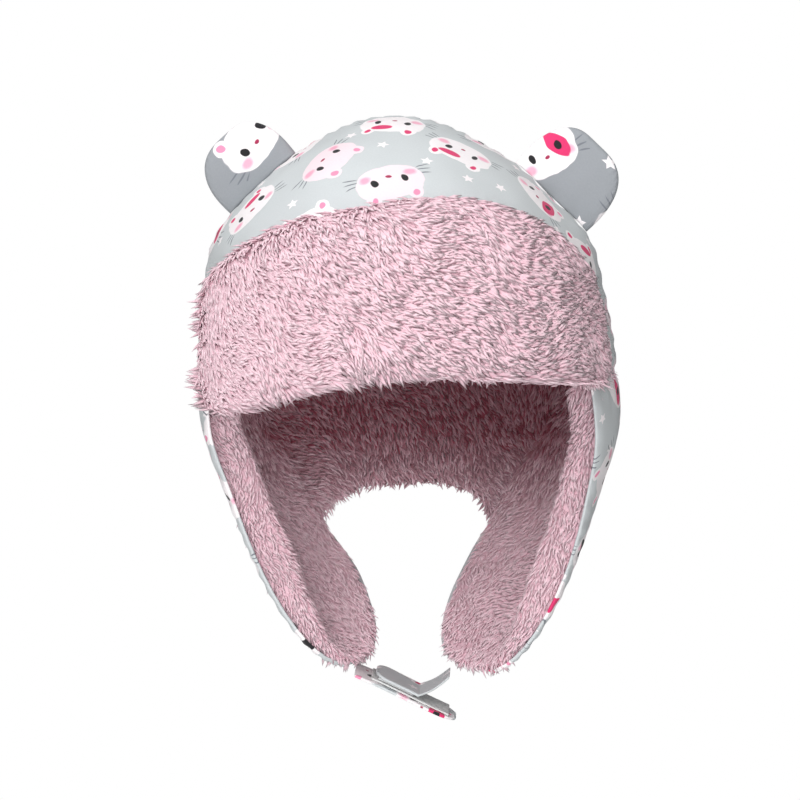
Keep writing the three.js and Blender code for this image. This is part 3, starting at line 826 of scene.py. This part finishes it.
def flap_outline(name, side, drop, u, v, inset=0.0):
    """Angle and polar angle over a flap. inset pulls its free edges in, in degrees."""
    row = v[:, None] * (len(FLAP_ROWS) - 1) + 0 * u[None, :]
    height = np.minimum(read_table(FLAP_ROWS, "row", "height", row), SEAM_HEIGHT - GAP / 2)
    height = height + np.where(height < -100, drop * (height + 100) / 27, 0)
    front = read_table(FLAP_ROWS, "row", f"{name}_front", row) + inset
    rear = read_table(FLAP_ROWS, "row", f"{name}_rear", row) - HALF_GAP_ANGLE
    rear = rear - inset * ease(row, NOTCH_ROW - 0.5, NOTCH_ROW + 1)
    return side * lerp(front, rear, u[None, :]), polar_of(height)


def nape_outline(u, v):
    across = 2 * u[None, :] - 1 + 0 * v[:, None]
    edge = lerp(NAPE_MIDDLE, NAPE_CORNER, np.abs(across) ** NAPE_POWER)
    height = lerp(SEAM_HEIGHT - GAP / 2, edge, v[:, None])
    left = read_table(FLAP_ROWS, "height", "left_rear", height)
    right = read_table(FLAP_ROWS, "height", "right_rear", height)
    seam = np.where(across < 0, right, left)
    return 180 + across * (180 - seam - HALF_GAP_ANGLE), polar_of(height)


def band_map(angle, polar, middle):
    """Place on the flat cloth of a panel that hangs round the hat."""
    base = form_point(angle, polar)
    radius = np.hypot(base[..., 0], base[..., 1] + CHIN_FORWARD * ease(-base[..., 2], CHIN_FROM, CHIN_TO))
    steps = np.linalg.norm(np.diff(base, axis=0), axis=-1).mean(axis=1)
    down = np.concatenate([[0], np.cumsum(steps)])
    return np.stack([radius * np.radians(angle - middle), -down[:, None] + 0 * angle], axis=-1)


# %% Flap and nape cloth


def hanging_cloth(name, outline, size, middle, print_shift, seed, turn=0.0):
    u, full_u = rolled(size[0], 1.1, 64)
    v, full_v = rolled(size[1], 1.1, 90)
    angle, polar = outline(u, v)
    base = form_point(angle, polar)
    side = np.minimum(u, 1 - u)[None, :] * size[0] + 0 * angle
    end = np.minimum(v, 1 - v)[:, None] * size[1] + 0 * angle
    along = np.where(side < end, v[:, None] * size[1], u[None, :] * size[0])
    stand = folds(base, np.minimum(side, end), along, seed) * 0.8
    layers = wall(angle, polar, full_u[None, :] * full_v[:, None], SHELL_LAYER, stand)
    flat = band_map(angle, polar, middle)
    cosine, sine = math.cos(turn), math.sin(turn)
    turned = np.stack([flat[..., 0] * cosine - flat[..., 1] * sine, flat[..., 0] * sine + flat[..., 1] * cosine], -1)
    return closed_piece(name, layers, cotton, turned + np.array(print_shift))


FLAP_PRINT = {"left": (22, 10), "right": (88, 26)}
flap_cloth = {}
for name, side, drop in FLAPS:
    flap_cloth[name] = hanging_cloth(
        f"flap_{name}_cloth",
        lambda u, v: flap_outline(name, side, drop, u, v),
        FLAP_SIZE,
        side * 95,
        FLAP_PRINT[name],
        5 + side,
    )
nape_cloth = hanging_cloth("nape_cloth", nape_outline, NAPE_SIZE, 180, (-20, -8), 9)

# %% [markdown]
# ## The plush grounds
#
# The lining is the same form, deeper in. Its ground is made thinner than the space it has, so that the pile has room
# to stand. Each point of a ground carries one number, pile: 1 where locks grow and 0 where the ground is sewn to the
# shell and nothing shows. Below, the comb is worked out from the finished surface: mostly downwards, swung to one
# side, and swirled by a slow noise, as hands leave it.

# %% Lining grounds
LINING_LAYER = (-SHELL - GAP, -SHELL - GAP - 3.4)
LINING_EDGE = 2.6
EDGE_ROLL = 10.0  # how much thicker the plush is in the roll along a flap's front edge


def lining(name, angle, polar, full, roll=0.0):
    layers = wall(angle, polar, full, LINING_LAYER, 0.0)
    bumps = 0.5 * ripple(layers[1], 7.0, 21) + roll
    layers[1] = layers[1] - form_normal(angle, polar) * (bumps * full)[..., None]
    rim = 1 - ease(full, 0.75, 0.98)
    return closed_piece(name, layers, ground_plush, None, {"pile": (rim, np.ones_like(rim))})


def crown_lining_grid():
    u = np.linspace(0, 1, 161)
    v, full_v = rolled(CROWN_SIZE[1], LINING_EDGE, 60, (False, True))
    angle = lerp(-90, 270, u)[None, :] * np.ones((len(v), 1))
    return angle, v[:, None] * polar_of(crown_edge(angle)), full_v[:, None] * np.ones_like(angle)


def hanging_lining(name, outline, size, edges, roll=0.0):
    u, full_u = rolled(size[0], LINING_EDGE, 44, edges[:2])
    v, full_v = rolled(size[1], LINING_EDGE, 64, edges[2:])
    angle, polar = outline(u, v)
    thicker = roll * hump(u, 0.08, 0.20)[None, :] * (1 - ease(v, 0.5, 0.9))[:, None]
    return lining(name, angle, polar, full_u[None, :] * full_v[:, None], thicker)


grounds = {"crown_lining": lining("crown_lining_ground", *crown_lining_grid())}
for name, side, drop in FLAPS:
    grounds[f"flap_{name}_lining"] = hanging_lining(
        f"flap_{name}_lining_ground",
        lambda u, v: flap_outline(name, side, drop, u, v, 3.6),
        FLAP_SIZE,
        (True, True, True, True),
        EDGE_ROLL,
    )
grounds["nape_lining"] = hanging_lining("nape_lining_ground", nape_outline, NAPE_SIZE, (True, True, True, True))

# %% [markdown]
# ## The peak
#
# The front flap is deep plush folded up over the brow, thicker than the lining and rounded along its top. Its section
# changes all the way across, so it is lofted: one closed outline at each angle, up the face, over the top and down
# the back, with its foot turned in under the crown. The outline's corners are rounded by a smooth curve through them.
# The cotton side of the flap, now at its back, is a plain wall between the plush and the crown.

# %% Peak ground and backing
PEAK_GAP, PLUSH_GAP, PEAK_STANDOFF = 0.6, 0.9, 3.0
FOOT_END = (38, 49)
PEAK_SECTIONS, SECTION_POINTS = 150, 84
FACE_ROOM, TOP_ROOM, FOLD_ROOM = 3.4, 3.2, 2.8  # space left for the pile


def peak_point(angle, height, offset):
    base = form_point(angle, polar_of(height))
    turn = np.radians(angle)
    outward = np.stack([np.sin(turn), -np.cos(turn), 0 * turn], axis=-1)
    return base + outward * (offset + PEAK_STANDOFF * ease(height, 10, 65))[..., None]


def smooth_loop(corners, count):
    """Points on a smooth closed curve through the corners."""
    place = np.arange(count) * len(corners) / count
    start = place.astype(int)
    t = (place - start)[:, None]
    a, b, c, d = (corners[(start + step) % len(corners)] for step in (-1, 0, 1, 2))
    return 0.5 * (2 * b + (c - a) * t + (2 * a - 5 * b + 4 * c - d) * t**2 + (3 * b - a - 3 * c + d) * t**3)


def peak_section(angle):
    """Rows of offset, height and pile round the plush at one angle."""
    fold, top, plush = (float(read_table(PEAK_ROWS, "angle", key, angle)) for key in ("fold", "top", "plush"))
    back = PEAK_GAP + SHELL + PLUSH_GAP
    room = min(FACE_ROOM, 0.45 * plush)
    face, low, high = back + plush - room, fold + FOLD_ROOM, top - TOP_ROOM
    foot = 1 - float(ease(abs(angle), *FOOT_END))
    reach = lerp(back, -SHELL - GAP - PLUSH + 3.0, foot)
    levels = np.linspace(low + 7, high - 0.5 * plush, 5)
    corners = [
        (reach, low + 1.2, 1),
        (lerp(back + 0.2 * plush, -2, foot), low + 0.2, 1),
        (back + 0.45 * plush, low, 1),
        (lerp(back, face, 0.88), low + 0.22 * plush, 1),
        *[(face, level, 1) for level in levels],
        (lerp(back, face, 0.86), high - 0.2 * plush, 1),
        (lerp(back, face, 0.5), high, 1),
        (lerp(back, face, 0.08), high - 0.15 * plush, 0.6),
        *[(back, level, 0) for level in levels[::-1]],
        (back, fold + PEAK_FOOT - 0.3, 0),
        (reach, fold + PEAK_FOOT - 1.0, 0),
    ]
    return smooth_loop(np.array(corners, float), SECTION_POINTS)


def peak_ground():
    shares, full = rolled(190.0, 7.0, PEAK_SECTIONS)
    angles = lerp(-62.0, 64.0, shares)
    sections = np.stack([peak_section(a) for a in angles])
    middle = sections.mean(axis=1, keepdims=True)
    squeezed = middle + (sections - middle) * np.maximum(full, 0.02)[:, None, None]
    turned = angles[:, None] + 0 * squeezed[..., 0]
    points = peak_point(turned, squeezed[..., 1], squeezed[..., 0])
    lumps = 0.9 * ripple(points, 11.0, 31) + 0.8 * ripple(points, 28.0, 33)
    pile = np.clip(sections[..., 2], 0, 1)
    outward = unit(points - points.mean(axis=1, keepdims=True))
    points = points + outward * (lumps * pile * full[:, None])[..., None]
    closed = np.concatenate([points, points[:, :1]], axis=1)
    pile = np.concatenate([pile, pile[:, :1]], axis=1)
    return closed_piece("peak_ground", [closed], ground_plush, None, {"pile": (pile,)})


grounds["peak_plush"] = peak_ground()


def peak_backing_cloth():
    shares, full_u = rolled(180.0, 0.9, 90)
    levels, full_v = rolled(60.0, 0.9, 30)
    angle = lerp(-66.5, 64.8, shares)[None, :] + 0 * levels[:, None]
    fold, top, plush = (read_table(PEAK_ROWS, "angle", key, angle) for key in ("fold", "top", "plush"))
    height = lerp(fold + PEAK_FOOT + EDGE_GAP, top - 0.5 * plush, levels[:, None])
    full = full_u[None, :] * full_v[:, None]
    half = SHELL / 2 * full
    middle = PEAK_GAP + SHELL / 2
    layers = [peak_point(angle, height, middle + half), peak_point(angle, height, middle - half)]
    cloth = np.stack([np.radians(angle) * HALF_DEPTH + 40, height - 40], axis=-1)
    return closed_piece("peak_backing_cloth", layers, cotton, cloth)


peak_backing = peak_backing_cloth()

# %% [markdown]
# ## Locks of pile, by Geometry Nodes
#
# Thousands of locks are one shape repeated, which is what Geometry Nodes are for. Points are scattered over a ground
# where its pile number allows, each gets one of four bent lock shapes, stood up from the surface and laid along the
# comb, and a tone, which turns to maroon pinks deep in the hollow as painted shade. The four shapes are small meshes
# of sixteen triangles: a bent three-sided blade that swells and then tapers. The tree's sizes are named inputs, and
# its random draws have a fixed seed. The result is made a plain mesh, because the library keeps meshes and not
# modifiers.

# %% Four lock shapes
LOCK_RINGS = ((0.0, 0.45), (0.34, 0.95), (0.70, 0.62))  # share along the lock, and its share of full girth
LOCK_HALF_GIRTH = 1.1
LOCK_BENDS = [  # where the lock's curve is pulled to, and where its tip lies
    ((0.6, 0.3, 1.5), (6.2, 0.8, 0.5)),
    ((1.0, -0.5, 1.4), (6.6, -1.4, 0.2)),
    ((0.4, 0.8, 1.7), (5.4, 1.7, 0.9)),
    ((1.4, -0.2, 1.1), (7.2, 0.3, 0.7)),
]
LOCK_ROOT = (0.0, 0.0, -0.6)

lock_shapes = bpy.data.collections.new("lock_shapes")
scene.collection.children.link(lock_shapes)


def lock_shape(name, pull, tip):
    root, pull, tip = (np.array(p, float) for p in (LOCK_ROOT, pull, tip))
    curve = lambda t: root * (1 - t) ** 2 + pull * 2 * t * (1 - t) + tip * t * t
    points, faces, flat = [], [], []
    for share, girth in LOCK_RINGS:
        along = unit(curve(share + 0.02) - curve(share - 0.02))
        sideways = np.array([0.0, 1.0, 0.0])
        over = np.cross(along, sideways)
        for corner in range(3):
            turn = math.tau * corner / 3 + math.pi / 2
            offset = over * math.sin(turn) * 0.5 + sideways * math.cos(turn)
            points.append(curve(share) + offset * girth * LOCK_HALF_GIRTH)
    points.append(tip)
    heights = [0.02 + 0.96 * share for share, _ in LOCK_RINGS]
    for ring in range(len(LOCK_RINGS) - 1):
        for corner in range(3):
            a, b = ring * 3 + corner, ring * 3 + (corner + 1) % 3
            faces.append((a, b, b + 3, a + 3))
            low, high = heights[ring], heights[ring + 1]
            flat += [(corner / 3, low), ((corner + 1) / 3, low), ((corner + 1) / 3, high), (corner / 3, high)]
    last = (len(LOCK_RINGS) - 1) * 3
    for corner in range(3):
        faces.append((last + corner, last + (corner + 1) % 3, len(points) - 1))
        flat += [(corner / 3, heights[-1]), ((corner + 1) / 3, heights[-1]), ((corner + 0.5) / 3, 0.98)]
    faces.append((2, 1, 0))
    flat += [(0.1, 0.02), (0.5, 0.02), (0.3, 0.03)]
    mesh = bpy.data.meshes.new(name)
    mesh.from_pydata([tuple(p * MM) for p in points], [], faces)
    mesh.uv_layers.new(name="lock_map").data.foreach_set("uv", np.array(flat, np.float32).ravel())
    skin = bmesh.new()
    skin.from_mesh(mesh)
    bmesh.ops.recalc_face_normals(skin, faces=skin.faces)
    print(f"{name}: {len(skin.faces)} faces, {skin.calc_volume(signed=True) / MM**3:.2f} mm3")
    skin.to_mesh(mesh)
    skin.free()
    mesh.shade_smooth()
    lock_shapes.objects.link(bpy.data.objects.new(name, mesh))


for number, (pull, tip) in enumerate(LOCK_BENDS):
    lock_shape(f"lock_{number}", pull, tip)

# %% The tree that grows the pile


def new_tree(name, inputs):
    """A Geometry Nodes tree with named inputs, its board, and a function that gives each input's socket."""
    tree = bpy.data.node_groups.new(name, "GeometryNodeTree")
    tree.interface.new_socket("Geometry", in_out="INPUT", socket_type="NodeSocketGeometry")
    for label, kind in inputs.items():
        tree.interface.new_socket(label, in_out="INPUT", socket_type=f"NodeSocket{kind}")
    tree.interface.new_socket("Geometry", in_out="OUTPUT", socket_type="NodeSocketGeometry")
    board = Board(tree)
    given = board.put("NodeGroupInput").socket.node
    return tree, board, lambda label: Value(board, given.outputs[label])


def apply_tree(base, tree, name, settings):
    """The tree's result on a base mesh, as a plain mesh object."""
    modifier = base.modifiers.new(tree.name, "NODES")
    modifier.node_group = tree
    identifiers = {item.name: item.identifier for item in tree.interface.items_tree if item.in_out == "INPUT"}
    for label, value in settings.items():
        modifier[identifiers[label]] = value
    bpy.context.view_layer.update()
    evaluated = base.evaluated_get(bpy.context.evaluated_depsgraph_get())
    mesh = bpy.data.meshes.new_from_object(evaluated)
    base.modifiers.remove(modifier)
    mesh.name = name
    made = bpy.data.objects.new(name, mesh)
    scene.collection.objects.link(made)
    return made


pile_tree, board, given = new_tree(
    "grow_pile",
    {
        "Locks": "Collection",
        "Density": "Float",
        "Size": "Float",
        "Stand": "Float",
        "Scatter": "Float",
        "Seed": "Int",
        "Material": "Material",
    },
)


def named(key, data_type="FLOAT"):
    return board.put("GeometryNodeInputNamedAttribute", {"data_type": data_type}, {"Name": key})


def random_number(low, high, seed):
    inputs = {"Min_001": low, "Max_001": high, "Seed": seed}
    node = board.put("FunctionNodeRandomValue", {"data_type": "FLOAT"}).socket.node
    keys = {socket.identifier: index for index, socket in enumerate(node.inputs)}
    for key, value in inputs.items():
        socket = node.inputs[keys[key]]
        if isinstance(value, Value):
            board.tree.links.new(value.socket, socket)
        else:
            socket.default_value = value
    return Value(board, node.outputs[1])


density = given("Density") * named("pile")
scattered = board.put(
    "GeometryNodeDistributePointsOnFaces",
    {"distribute_method": "RANDOM"},
    {"Mesh": given("Geometry"), "Density": density, "Seed": given("Seed")},
)
normal = Value(board, scattered.socket.node.outputs["Normal"])
swing = random_number(given("Scatter") * -1.0, given("Scatter"), 1)
comb = board.put(
    "ShaderNodeVectorRotate",
    {"rotation_type": "AXIS_ANGLE"},
    {"Vector": named("comb", "FLOAT_VECTOR"), "Axis": normal, "Angle": swing},
)
stand = given("Stand") * random_number(0.3, 1.7, 2)
upward = board.vector("SUBTRACT", normal, board.scaled(comb, stand))
rotation = board.put("FunctionNodeAxesToRotation", {}, {"Primary Axis": upward, "Secondary Axis": comb})
pick = random_number(0.0, 3.999, 3).math("FLOOR")
size = given("Size") * random_number(0.72, 1.22, 4) * named("reach")
lock_source = board.put(
    "GeometryNodeCollectionInfo",
    {},
    {"Collection": given("Locks"), "Separate Children": True, "Reset Children": True},
)
planted = board.put(
    "GeometryNodeInstanceOnPoints",
    {},
    {
        "Points": scattered,
        "Instance": lock_source,
        "Pick Instance": True,
        "Instance Index": pick,
        "Rotation": rotation,
        "Scale": size,
    },
)
# Locks deep in the hollow take the upper, maroon bands: painted shade.
band = (named("shade") * (TONES - 3.0) + random_number(0.0, 2.999, 5)).math("FLOOR")
banded = board.put(
    "GeometryNodeStoreNamedAttribute",
    {"data_type": "FLOAT", "domain": "INSTANCE"},
    {"Geometry": planted, "Name": "band", "Value": band},
)
realised = board.put("GeometryNodeRealizeInstances", {}, {"Geometry": banded})
lock_x, lock_y, _ = board.parts(named("lock_map", "FLOAT_VECTOR"))
flat_x = (named("band") + lock_x * 0.8 + 0.1) / float(TONES)
flat_place = board.put("ShaderNodeCombineXYZ", {}, {0: flat_x, 1: lock_y})
mapped = board.put(
    "GeometryNodeStoreNamedAttribute",
    {"data_type": "FLOAT2", "domain": "CORNER"},
    {"Geometry": realised, "Name": "OFBake", "Value": flat_place},
)
finished = board.put("GeometryNodeSetMaterial", {}, {"Geometry": mapped, "Material": given("Material")})
board.put("NodeGroupOutput", {}, {"Geometry": finished})
print("grow_pile:", len(pile_tree.nodes), "nodes")

# %% Comb each ground and grow its pile
PILES = [  # node, name, locks per square millimetre, size, stand, comb in degrees from straight down, seed
    ("peak_plush", "peak_pile", 0.68, 1.0, 0.08, 58, 11),
    ("crown_lining", "crown_lining_pile", 0.13, 1.0, 0.10, 30, 12),
    ("flap_left_lining", "flap_left_pile", 0.55, 0.72, 0.10, 20, 13),
    ("flap_right_lining", "flap_right_pile", 0.55, 0.72, 0.10, -20, 14),
    ("nape_lining", "nape_pile", 0.60, 0.76, 0.10, 35, 15),
]
SWIRL, SWIRL_SIZE, SCATTER = 70.0, 26.0, 0.38
FRINGE = 0.3  # how much longer the locks are where the surface faces down


def comb_ground(ground, lay):
    """Writes where the pile leans, how long it is, and how much painted shade of the hollow it gets, for each point
    of a ground.
    """
    mesh = ground.data
    count = len(mesh.vertices)
    points, normals = np.empty(count * 3, np.float32), np.empty(count * 3, np.float32)
    mesh.vertices.foreach_get("co", points)
    mesh.vertices.foreach_get("normal", normals)
    points, normals = points.reshape(-1, 3) / MM, normals.reshape(-1, 3)
    down = np.array([0.0, 0.0, -1.0])
    straight = unit(down - normals * (normals @ down)[:, None] + np.array([1e-4, 0, 0]))
    sideways = np.cross(normals, straight)
    turn = np.radians(lay + SWIRL * ripple(points, SWIRL_SIZE, 41) + 0.4 * SWIRL * ripple(points, 8.0, 43))
    comb = straight * np.cos(turn)[:, None] + sideways * np.sin(turn)[:, None]
    mesh.attributes.new("comb", "FLOAT_VECTOR", "POINT").data.foreach_set("vector", comb.astype(np.float32).ravel())
    reach = 1 + 0.18 * ripple(points, 9.0, 47) + FRINGE * np.clip(-normals[:, 2], 0, 1)
    # The shade number: painted shade of the hollow, towards the back and up under the crown.
    (front, back), (low, high) = HOLLOW_SHADE_PLACE
    y, z = points[:, 1] * MM, points[:, 2] * MM
    shade = np.clip((y - front) / (back - front), 0, 1) * np.clip((z - low) / (high - low), 0, 1)
    for key, numbers in (("reach", reach), ("shade", shade)):
        mesh.attributes.new(key, "FLOAT", "POINT").data.foreach_set("value", numbers.astype(np.float32))


piles = {}
for node, name, thick, size, stand, lay, seed in PILES:
    comb_ground(grounds[node], lay)
    pile = apply_tree(
        grounds[node],
        pile_tree,
        name,
        {
            "Locks": lock_shapes,
            "Density": thick / MM**2,
            "Size": size,
            "Stand": stand,
            "Scatter": SCATTER,
            "Seed": seed,
            "Material": pile_plush,
        },
    )
    for layer in [layer.name for layer in pile.data.uv_layers if layer.name != "OFBake"]:
        pile.data.uv_layers.remove(pile.data.uv_layers[layer])
    pile.data.materials.pop(index=0)
    pile.data.shade_smooth()
    piles[node] = pile
    triangles = sum(len(p.vertices) - 2 for p in pile.data.polygons)
    print(f"{name}: {triangles} triangles, {[m and m.name for m in pile.data.materials]}")

# %% [markdown]
# ## Ears
#
# Each ear is two layers of cotton sewn round a rounded outline, turned and stuffed, and caught in the seam that runs
# over the crown. It is a pillow: thick in the middle, thin at its seam, a little cupped forwards. A cloth simulation
# would swell it, but the outline has to keep its shape, so the fill is a rule, with small tucks radiating from the
# seam where the turned edge is gathered.

# %% Ears
EARS = [  # name, side, inner and outer polar angle, height, cup, the print's place
    ("ear_left", -1, 32, 53, 24.5, 2.5, (31, 38)),
    ("ear_right", 1, 36, 58, 28.5, 2.0, (-33, 34)),
]
EAR_PLUMP, EAR_RIM, EAR_SQUARE, EAR_FLARE = 8.0, 1.6, 2.9, 1.03


def ear_pad(name, side, inner, outer, height, cup, print_at):
    middle = (inner + outer) / 2
    outward = form_normal(side * 90.0, middle)
    u, v = np.linspace(0, 1, 97)[None, :], np.concatenate([np.linspace(0, 0.9, 30), np.linspace(0.92, 1, 9)])[:, None]
    turn = math.pi * u
    shape = lambda wave: np.sign(wave) * np.abs(wave) ** (2 / EAR_SQUARE)
    across = shape(np.cos(turn)) * (v * 0 + 1)
    spread = np.abs(shape(np.sin(turn)))
    rise = v * spread
    fill = np.clip(np.abs(across) ** EAR_SQUARE + rise**EAR_SQUARE, 0, 1)
    from_seam = 1 - fill
    swell = np.sqrt(from_seam)
    tucks = 0.35 * np.cos(u * 44 * math.pi) * np.exp(-from_seam / 0.16) * ease(from_seam, 0, 0.05)
    thick = EAR_RIM * np.minimum(swell * 3, 1) + (EAR_PLUMP - EAR_RIM) * swell + tucks
    thick = np.where(v * np.ones_like(u) <= 0, np.maximum(thick, EAR_RIM), thick)
    flare = lerp(1, EAR_FLARE, np.sin(math.pi * np.minimum(rise, 1)))
    polar = middle + across * flare * (outer - inner) / 2
    foot = form_point(side * 90.0, polar) + form_normal(side * 90.0, polar) * 0.4
    place = foot + outward * (rise * height)[..., None]
    half_width = math.radians(outer - inner) / 2 * 88
    flat = np.stack([side * across * half_width, rise * height], axis=-1)
    creases = 0.45 * ripple(place, 11.0, 61 + side) * from_seam
    layers = []
    for facing in (1, -1):
        moved = place.copy()
        moved[..., 1] += -cup * rise**2 + facing * (thick / 2 + creases)
        layers.append(moved)
    return closed_piece(name + "_pad", layers, shaded_ear_cotton, flat + np.array(print_at))


ear_pads = {ear[0]: ear_pad(*ear) for ear in EARS}

# %% [markdown]
# ## Chin strap
#
# A short strap of doubled cotton hangs from one flap's tip and a tab from the other. Tape with soft loops is sewn on
# the strap and tape with hooks under the tab, and pressing them together closes the hat. All four follow one curved
# middle line. Flat straps are modelled directly, as strips with rolled edges.

# %% Strap, tab and tapes
STRAP_ROWS = [
    dict(zip(("along", "x", "y", "z", "tilt"), row))
    for row in (
        (0, -21, -12, -126.4, 4), (0.2, -13, -12, -129.8, 4), (0.45, -2.5, -12.5, -134.8, 3),
        (0.7, 8, -13, -139.8, 3), (0.88, 15.5, -13, -143.3, 3), (1, 20.5, -13, -145.6, 3),
    )
]
STRAP_WIDTH, STRAP, TAPE = 20.0, 1.2, 0.8
TAB_FROM, TAB_TO, TAB_LYING = 0.18, 0.6, 0.62
TAB_ROOT = (18.0, -9.0, -128.5)
STRAP_LENGTH, TAB_LENGTH = 46.0, 32.0
LOOP_LOW = STRAP / 2 + GAP
HOOK_LOW = LOOP_LOW + TAPE + GAP
TAB_LOW = HOOK_LOW + TAPE + GAP


def strap_point(along, across, above):
    read = lambda key, at: read_table(STRAP_ROWS, "along", key, at)
    direction = np.stack([read(key, along + 0.02) - read(key, along - 0.02) for key in "xyz"], axis=-1)
    direction = unit(direction)
    tilt = np.radians(read("tilt", along))
    backwards = np.stack([0 * tilt, np.cos(tilt), np.sin(tilt)], axis=-1)
    upwards = -unit(np.cross(backwards, direction))
    middle = np.stack([read(key, along) for key in "xyz"], axis=-1)
    return middle + backwards * across[..., None] + upwards * above[..., None]


def strip(name, start, finish, width, low, high, material, rounding=0.0, grain=0.0):
    """A strip of the strap between two shares of its length, with rolled edges and a rounded far end."""
    u, full_u = rolled(width, (high - low) / 2, 20)
    v, full_v = rolled(STRAP_LENGTH * (finish - start), (high - low) / 2, 60)
    along = lerp(start, finish, v)[:, None] + 0 * u[None, :]
    beyond = np.maximum((v[:, None] - 1 + rounding) / (rounding or 1), 0)
    across = (2 * u[None, :] - 1) * width / 2 * np.sqrt(np.maximum(1 - 0.9 * beyond**2, 0))
    full = full_u[None, :] * full_v[:, None]
    middle, half = (low + high) / 2, (high - low) / 2
    fuzz = grain * ripple(strap_point(along, across, 0 * full + middle), 1.1, 71)
    top, bottom = middle + (half + fuzz) * full, middle - half * full
    layers = [strap_point(along, across, above) for above in (top, bottom)]
    cloth = np.stack([along * STRAP_LENGTH + 60, across - 20], axis=-1)
    return closed_piece(name, layers, material, cloth)


def tab_strip():
    low, high = TAB_LOW, TAB_LOW + STRAP
    u, full_u = rolled(STRAP_WIDTH, STRAP / 2, 20)
    v, full_v = rolled(TAB_LENGTH, STRAP / 2, 70)
    share = v[:, None] + 0 * u[None, :]
    lying = np.minimum(share / TAB_LYING, 1)
    rising = np.maximum((share - TAB_LYING) / (1 - TAB_LYING), 0)[..., None]
    across = (u[None, :] - 0.5) * STRAP_WIDTH * np.sqrt(1 - 0.9 * np.maximum(1 - lying / 0.3, 0) ** 2)
    middle, half = (low + high) / 2, STRAP / 2 * full_u[None, :] * full_v[:, None]
    layers = []
    for above in (middle + half, middle - half):
        on_strap = strap_point(lerp(TAB_FROM, TAB_TO, lying), across, above)
        root = np.stack([TAB_ROOT[0] + 0 * share, TAB_ROOT[1] + across, TAB_ROOT[2] + above - low], axis=-1)
        bend = 2.2 * np.sin(math.pi * rising) * np.array([0.0, 0.0, -0.5])
        layers.append(lerp(on_strap, root, rising) + bend)
    cloth = np.stack([share * TAB_LENGTH + 12, across + 8], axis=-1)
    return closed_piece("chin_tab_cloth", layers, cotton, cloth)


tapes = {}
for name, pale, dark, coarse in (
    ("loop_tape_felt", shown(238, 238, 236), shown(196, 197, 198), 900.0),
    ("hook_tape_felt", shown(232, 232, 232), shown(170, 172, 174), 1500.0),
):
    tapes[name], board = new_material(name)
    place = board.put("ShaderNodeTexCoord", output="Object")
    nap = board.put("ShaderNodeTexNoise", {}, {"Vector": place, "Scale": coarse, "Detail": 3.0})
    surface(
        board,
        Base_Color=board.colour(nap, dark, pale),
        Roughness=board.number(nap, 0.7, 0.95),
        Normal=bump(board, nap, 0.8, 0.0005),
    )

chin_strap = strip("chin_strap_cloth", 0, 1, STRAP_WIDTH, -STRAP / 2, STRAP / 2, cotton, 0.2)
loop_tape = strip(
    "loop_tape_strip", 0.16, 0.92, STRAP_WIDTH - 4, LOOP_LOW, LOOP_LOW + TAPE, tapes["loop_tape_felt"], 0, 0.12
)
hook_tape = strip(
    "hook_tape_strip", 0.22, 0.56, STRAP_WIDTH - 5, HOOK_LOW, HOOK_LOW + TAPE, tapes["hook_tape_felt"], 0, 0.08
)
chin_tab = tab_strip()

# %% [markdown]
# ## Everything rides on the root
#
# The hat has no joints, so each piece rides on the one body. Each visual piece stands for its CAD node. Each panel
# has a flat width and length listed: those of a plain rectangle chosen to hold the modelled panel. Few of the panels
# are rectangles, so an area is printed as well. It is half of the modelled skin and not a pattern's area, so
# comparing the two can't show whether cloth has stretched.

# %% Ride, replace, and list the sheets
STANDS_FOR = {
    "crown_front": crown_front,
    "crown_back": crown_back,
    "nape_shell": nape_cloth,
    "flap_left_shell": flap_cloth["left"],
    "flap_right_shell": flap_cloth["right"],
    "peak_backing": peak_backing,
    "chin_strap": chin_strap,
    "chin_tab": chin_tab,
    "loop_tape": loop_tape,
    "hook_tape": hook_tape,
    **ear_pads,
    **grounds,
}
for shape in list(lock_shapes.objects):
    bpy.data.objects.remove(shape)
bpy.data.collections.remove(lock_shapes)
for node, piece in STANDS_FOR.items():
    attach(piece, "root")
    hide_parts(node)
for pile in piles.values():
    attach(pile, "root")


SHEETS = [  # piece, flat width and length in metres, what it is sewn to
    (crown_front, (0.27, 0.205), "crown_lining"),
    (crown_back, (0.27, 0.21), "crown_lining"),
    (nape_cloth, (0.135, 0.075), "crown_back"),
    (flap_cloth["left"], (0.085, 0.135), "crown_front"),
    (flap_cloth["right"], (0.10, 0.14), "crown_front"),
    (peak_backing, (0.19, 0.062), "crown_front"),
    (grounds["crown_lining"], (0.30, 0.26), "crown_front"),
    (grounds["nape_lining"], (0.125, 0.07), "crown_back"),
    (grounds["flap_left_lining"], (0.085, 0.135), "crown_front"),
    (grounds["flap_right_lining"], (0.10, 0.14), "crown_front"),
    (chin_strap, (0.021, 0.048), "flap_left_shell"),
    (chin_tab, (0.021, 0.034), "flap_right_shell"),
    (loop_tape, (0.016, 0.038), "chin_strap"),
    (hook_tape, (0.015, 0.018), "chin_tab"),
]
for piece, flat, sewn_to in SHEETS:
    half_skin = sum(polygon.area for polygon in piece.data.polygons) / 2
    panel_area = min(half_skin, flat[0] * flat[1])
    grown = [pile for node, pile in piles.items() if grounds[node] == piece]
    rectangle = flat[0] * flat[1] * 1e4
    print(f"{piece.name}: flat {flat} m, modelled area {panel_area * 1e4:.0f} cm2 of the rectangle's {rectangle:.0f}")

# %% [markdown]
# ## Sizes
#
# The visual model's box is printed beside the CAD model's box. The visual model has to stay
# in the CAD model's box, apart from what fabric may stand proud.

# %% Sizes and the end
visual_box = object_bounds()
for low, high, label in ((*cad_box, "CAD"), (*visual_box, "visual")):
    print(label, [round(c * 1000, 1) for c in low], [round(c * 1000, 1) for c in high], "mm")
